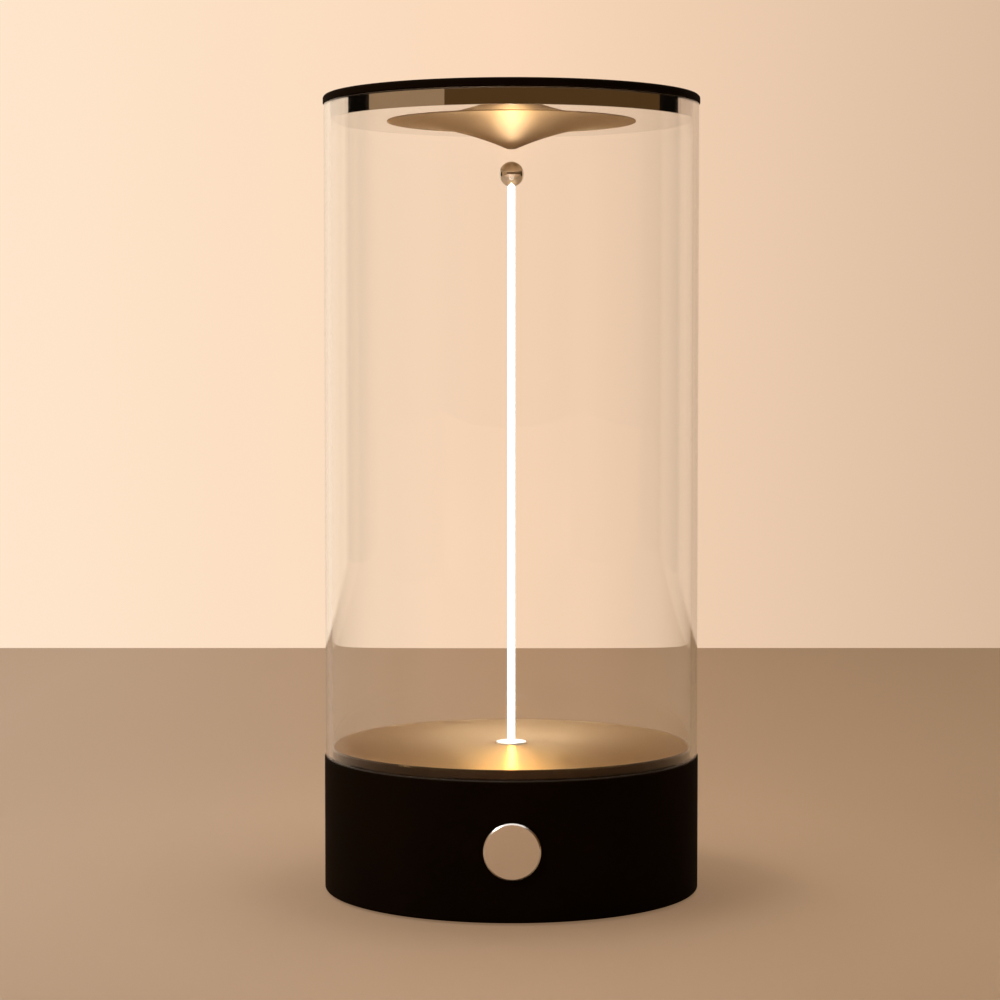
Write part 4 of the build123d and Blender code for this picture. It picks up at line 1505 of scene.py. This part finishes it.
# Wall: painted light, lighter at the left and darker at the right.
WALL_FACE = Backdrop("wall_face", (1.0, 0.79, 0.60), (0.955, 0.685, 0.485), (0.70, 0.495, 0.345), half=0.30)
SIDE_FACE = Backdrop("side_face", (0.38, 0.24, 0.13), (0.40, 0.25, 0.14), (0.42, 0.26, 0.15), half=1.5)
FLAG_BLACK = (0.004, 0.003, 0.002)
FLAG_FACE = Backdrop("flag_face", FLAG_BLACK, FLAG_BLACK, FLAG_BLACK, half=1.5)


@dataclass(frozen=True)
class Lamp:
    """One soft lamp: where it stands, what it faces, its size in metres and its power in watts."""

    name: str
    place: Point
    aim: Point
    size: Span
    power: float
    colour: Colour

    def build(self) -> None:
        """Puts the lamp in the scene."""
        data = bpy.data.lights.new(self.name, "AREA")
        data.shape = "RECTANGLE"
        data.size, data.size_y = self.size
        data.energy = self.power
        data.color = self.colour
        made = bpy.data.objects.new(self.name, data)
        made.location = self.place
        made.rotation_euler = (Vector(self.aim) - Vector(self.place)).to_track_quat("-Z", "Y").to_euler()
        bpy.context.scene.collection.objects.link(made)


SOFT_WHITE = (1.0, 0.98, 0.95)
WARM_WHITE = (1.0, 0.97, 0.93)
LAMPS = (
    Lamp("key", (-2.0, -0.6, 1.6), (0, 0.1, 0.1), (2.0, 2.0), 90.0, SOFT_WHITE),
    Lamp("back", (0, 0.5, 1.0), (0, 0.55, 0), (2.4, 0.3), 3.0, WARM_WHITE),
    Lamp("top", (0.1, 0.4, 2.2), (0, 0.4, 0), (2.6, 2.6), 23.0, SOFT_WHITE),
    Lamp("fill", (1.7, -1.3, 1.4), (0, 0, 0.1), (1.6, 1.6), 0.3, WARM_WHITE),
)


@dataclass
class Studio:
    """Table, wall, lamps and camera."""

    wall_left: Span = (-1.28, 0.714)
    wall_right: Span = (1.11, 0.714)
    wall_top: float = 1.3
    side_near: Span = (-0.92, -1.06)
    side_far: Span = (-1.49, 0.18)
    flag_far: Span = (1.47, 0.31)
    reach: float = 6.0
    room_dim: Colour = (0.1, 0.05, 0.016)
    room_pale: Colour = (0.7, 0.5, 0.35)
    camera_place: Point = (-0.00364, -0.84475, 0.169)
    camera_tilt: float = 2.974
    lens: float = 94.88
    sensor: float = 36.0

    def sheet(self, name: str, corners: list[Point], finish: Finish) -> None:
        """Adds one flat sheet of the stage.

        Args:
            name: The sheet's name.
            corners: Its four corners.
            finish: Its finish.
        """
        piece = object_of(name, mesh_of(name, corners, [(0, 1, 2, 3)]))
        piece.data.materials.append(finish.material())

    def upright(self, name: str, first: Span, last: Span, finish: Finish) -> None:
        """Adds one standing sheet of the stage.

        Args:
            name: The sheet's name.
            first: Plan position of one end.
            last: Plan position of the other end.
            finish: Its finish.
        """
        top = self.wall_top
        self.sheet(name, [(*first, 0.0), (*last, 0.0), (*last, top), (*first, top)], finish)

    def room(self) -> None:
        """Makes the room beyond the stage: dim, and pale to the eye and through glass."""
        world = bpy.data.worlds.new("room")
        world.use_nodes = True
        graph = Nodes(world.node_tree)
        dim = graph.fed(graph.tree.nodes["Background"], (*self.room_dim, 1.0))
        pale = graph.fed(graph.add("ShaderNodeBackground"), (*self.room_pale, 1.0))
        path = graph.add("ShaderNodeLightPath")
        seen = graph.math("MAXIMUM", path.outputs["Is Camera Ray"], path.outputs["Is Transmission Ray"])
        direct = graph.math("LESS_THAN", path.outputs["Glossy Depth"], 0.5)
        shown = graph.mix(graph.math("MULTIPLY", seen, direct), dim, pale)
        graph.join(shown, graph.tree.nodes["World Output"].inputs["Surface"])
        bpy.context.scene.world = world

    def build(self) -> None:
        """Builds the stage, the lamps and the camera."""
        wide = self.reach
        back = self.wall_left[1]
        floor = [(-wide, -wide, 0), (wide, -wide, 0), (wide, back, 0), (-wide, back, 0)]
        self.sheet("table", floor, TABLE_TOP)
        self.upright("wall", self.wall_left, self.wall_right, WALL_FACE)
        self.upright("side", self.side_near, self.side_far, SIDE_FACE)
        self.upright("flag_left", self.side_far, self.wall_left, FLAG_FACE)
        self.upright("flag_right", self.wall_right, self.flag_far, FLAG_FACE)
        for lamp in LAMPS:
            lamp.build()
        self.room()
        data = bpy.data.cameras.new("view")
        data.lens = self.lens
        data.sensor_width = self.sensor
        data.sensor_fit = "HORIZONTAL"
        camera = bpy.data.objects.new("view", data)
        camera.location = self.camera_place
        camera.rotation_euler = (math.radians(90.0 - self.camera_tilt), 0.0, 0.0)
        bpy.context.scene.collection.objects.link(camera)
        bpy.context.scene.camera = camera
        bpy.context.scene.view_settings.view_transform = "Standard"


def main() -> None:
    """Builds the lamp and its studio in order."""
    logging.basicConfig(level=logging.INFO, format="%(name)s: %(message)s")
    shop = Workshop()
    Studio().build()
    BaseDrum(shop).build()
    PushButton(shop).build()
    Deck(shop).build()
    GlowingRod(shop).build()
    GlassTube(shop).build()
    Head(shop).build()
    Works().build()


if __name__ == "__main__":
    main()
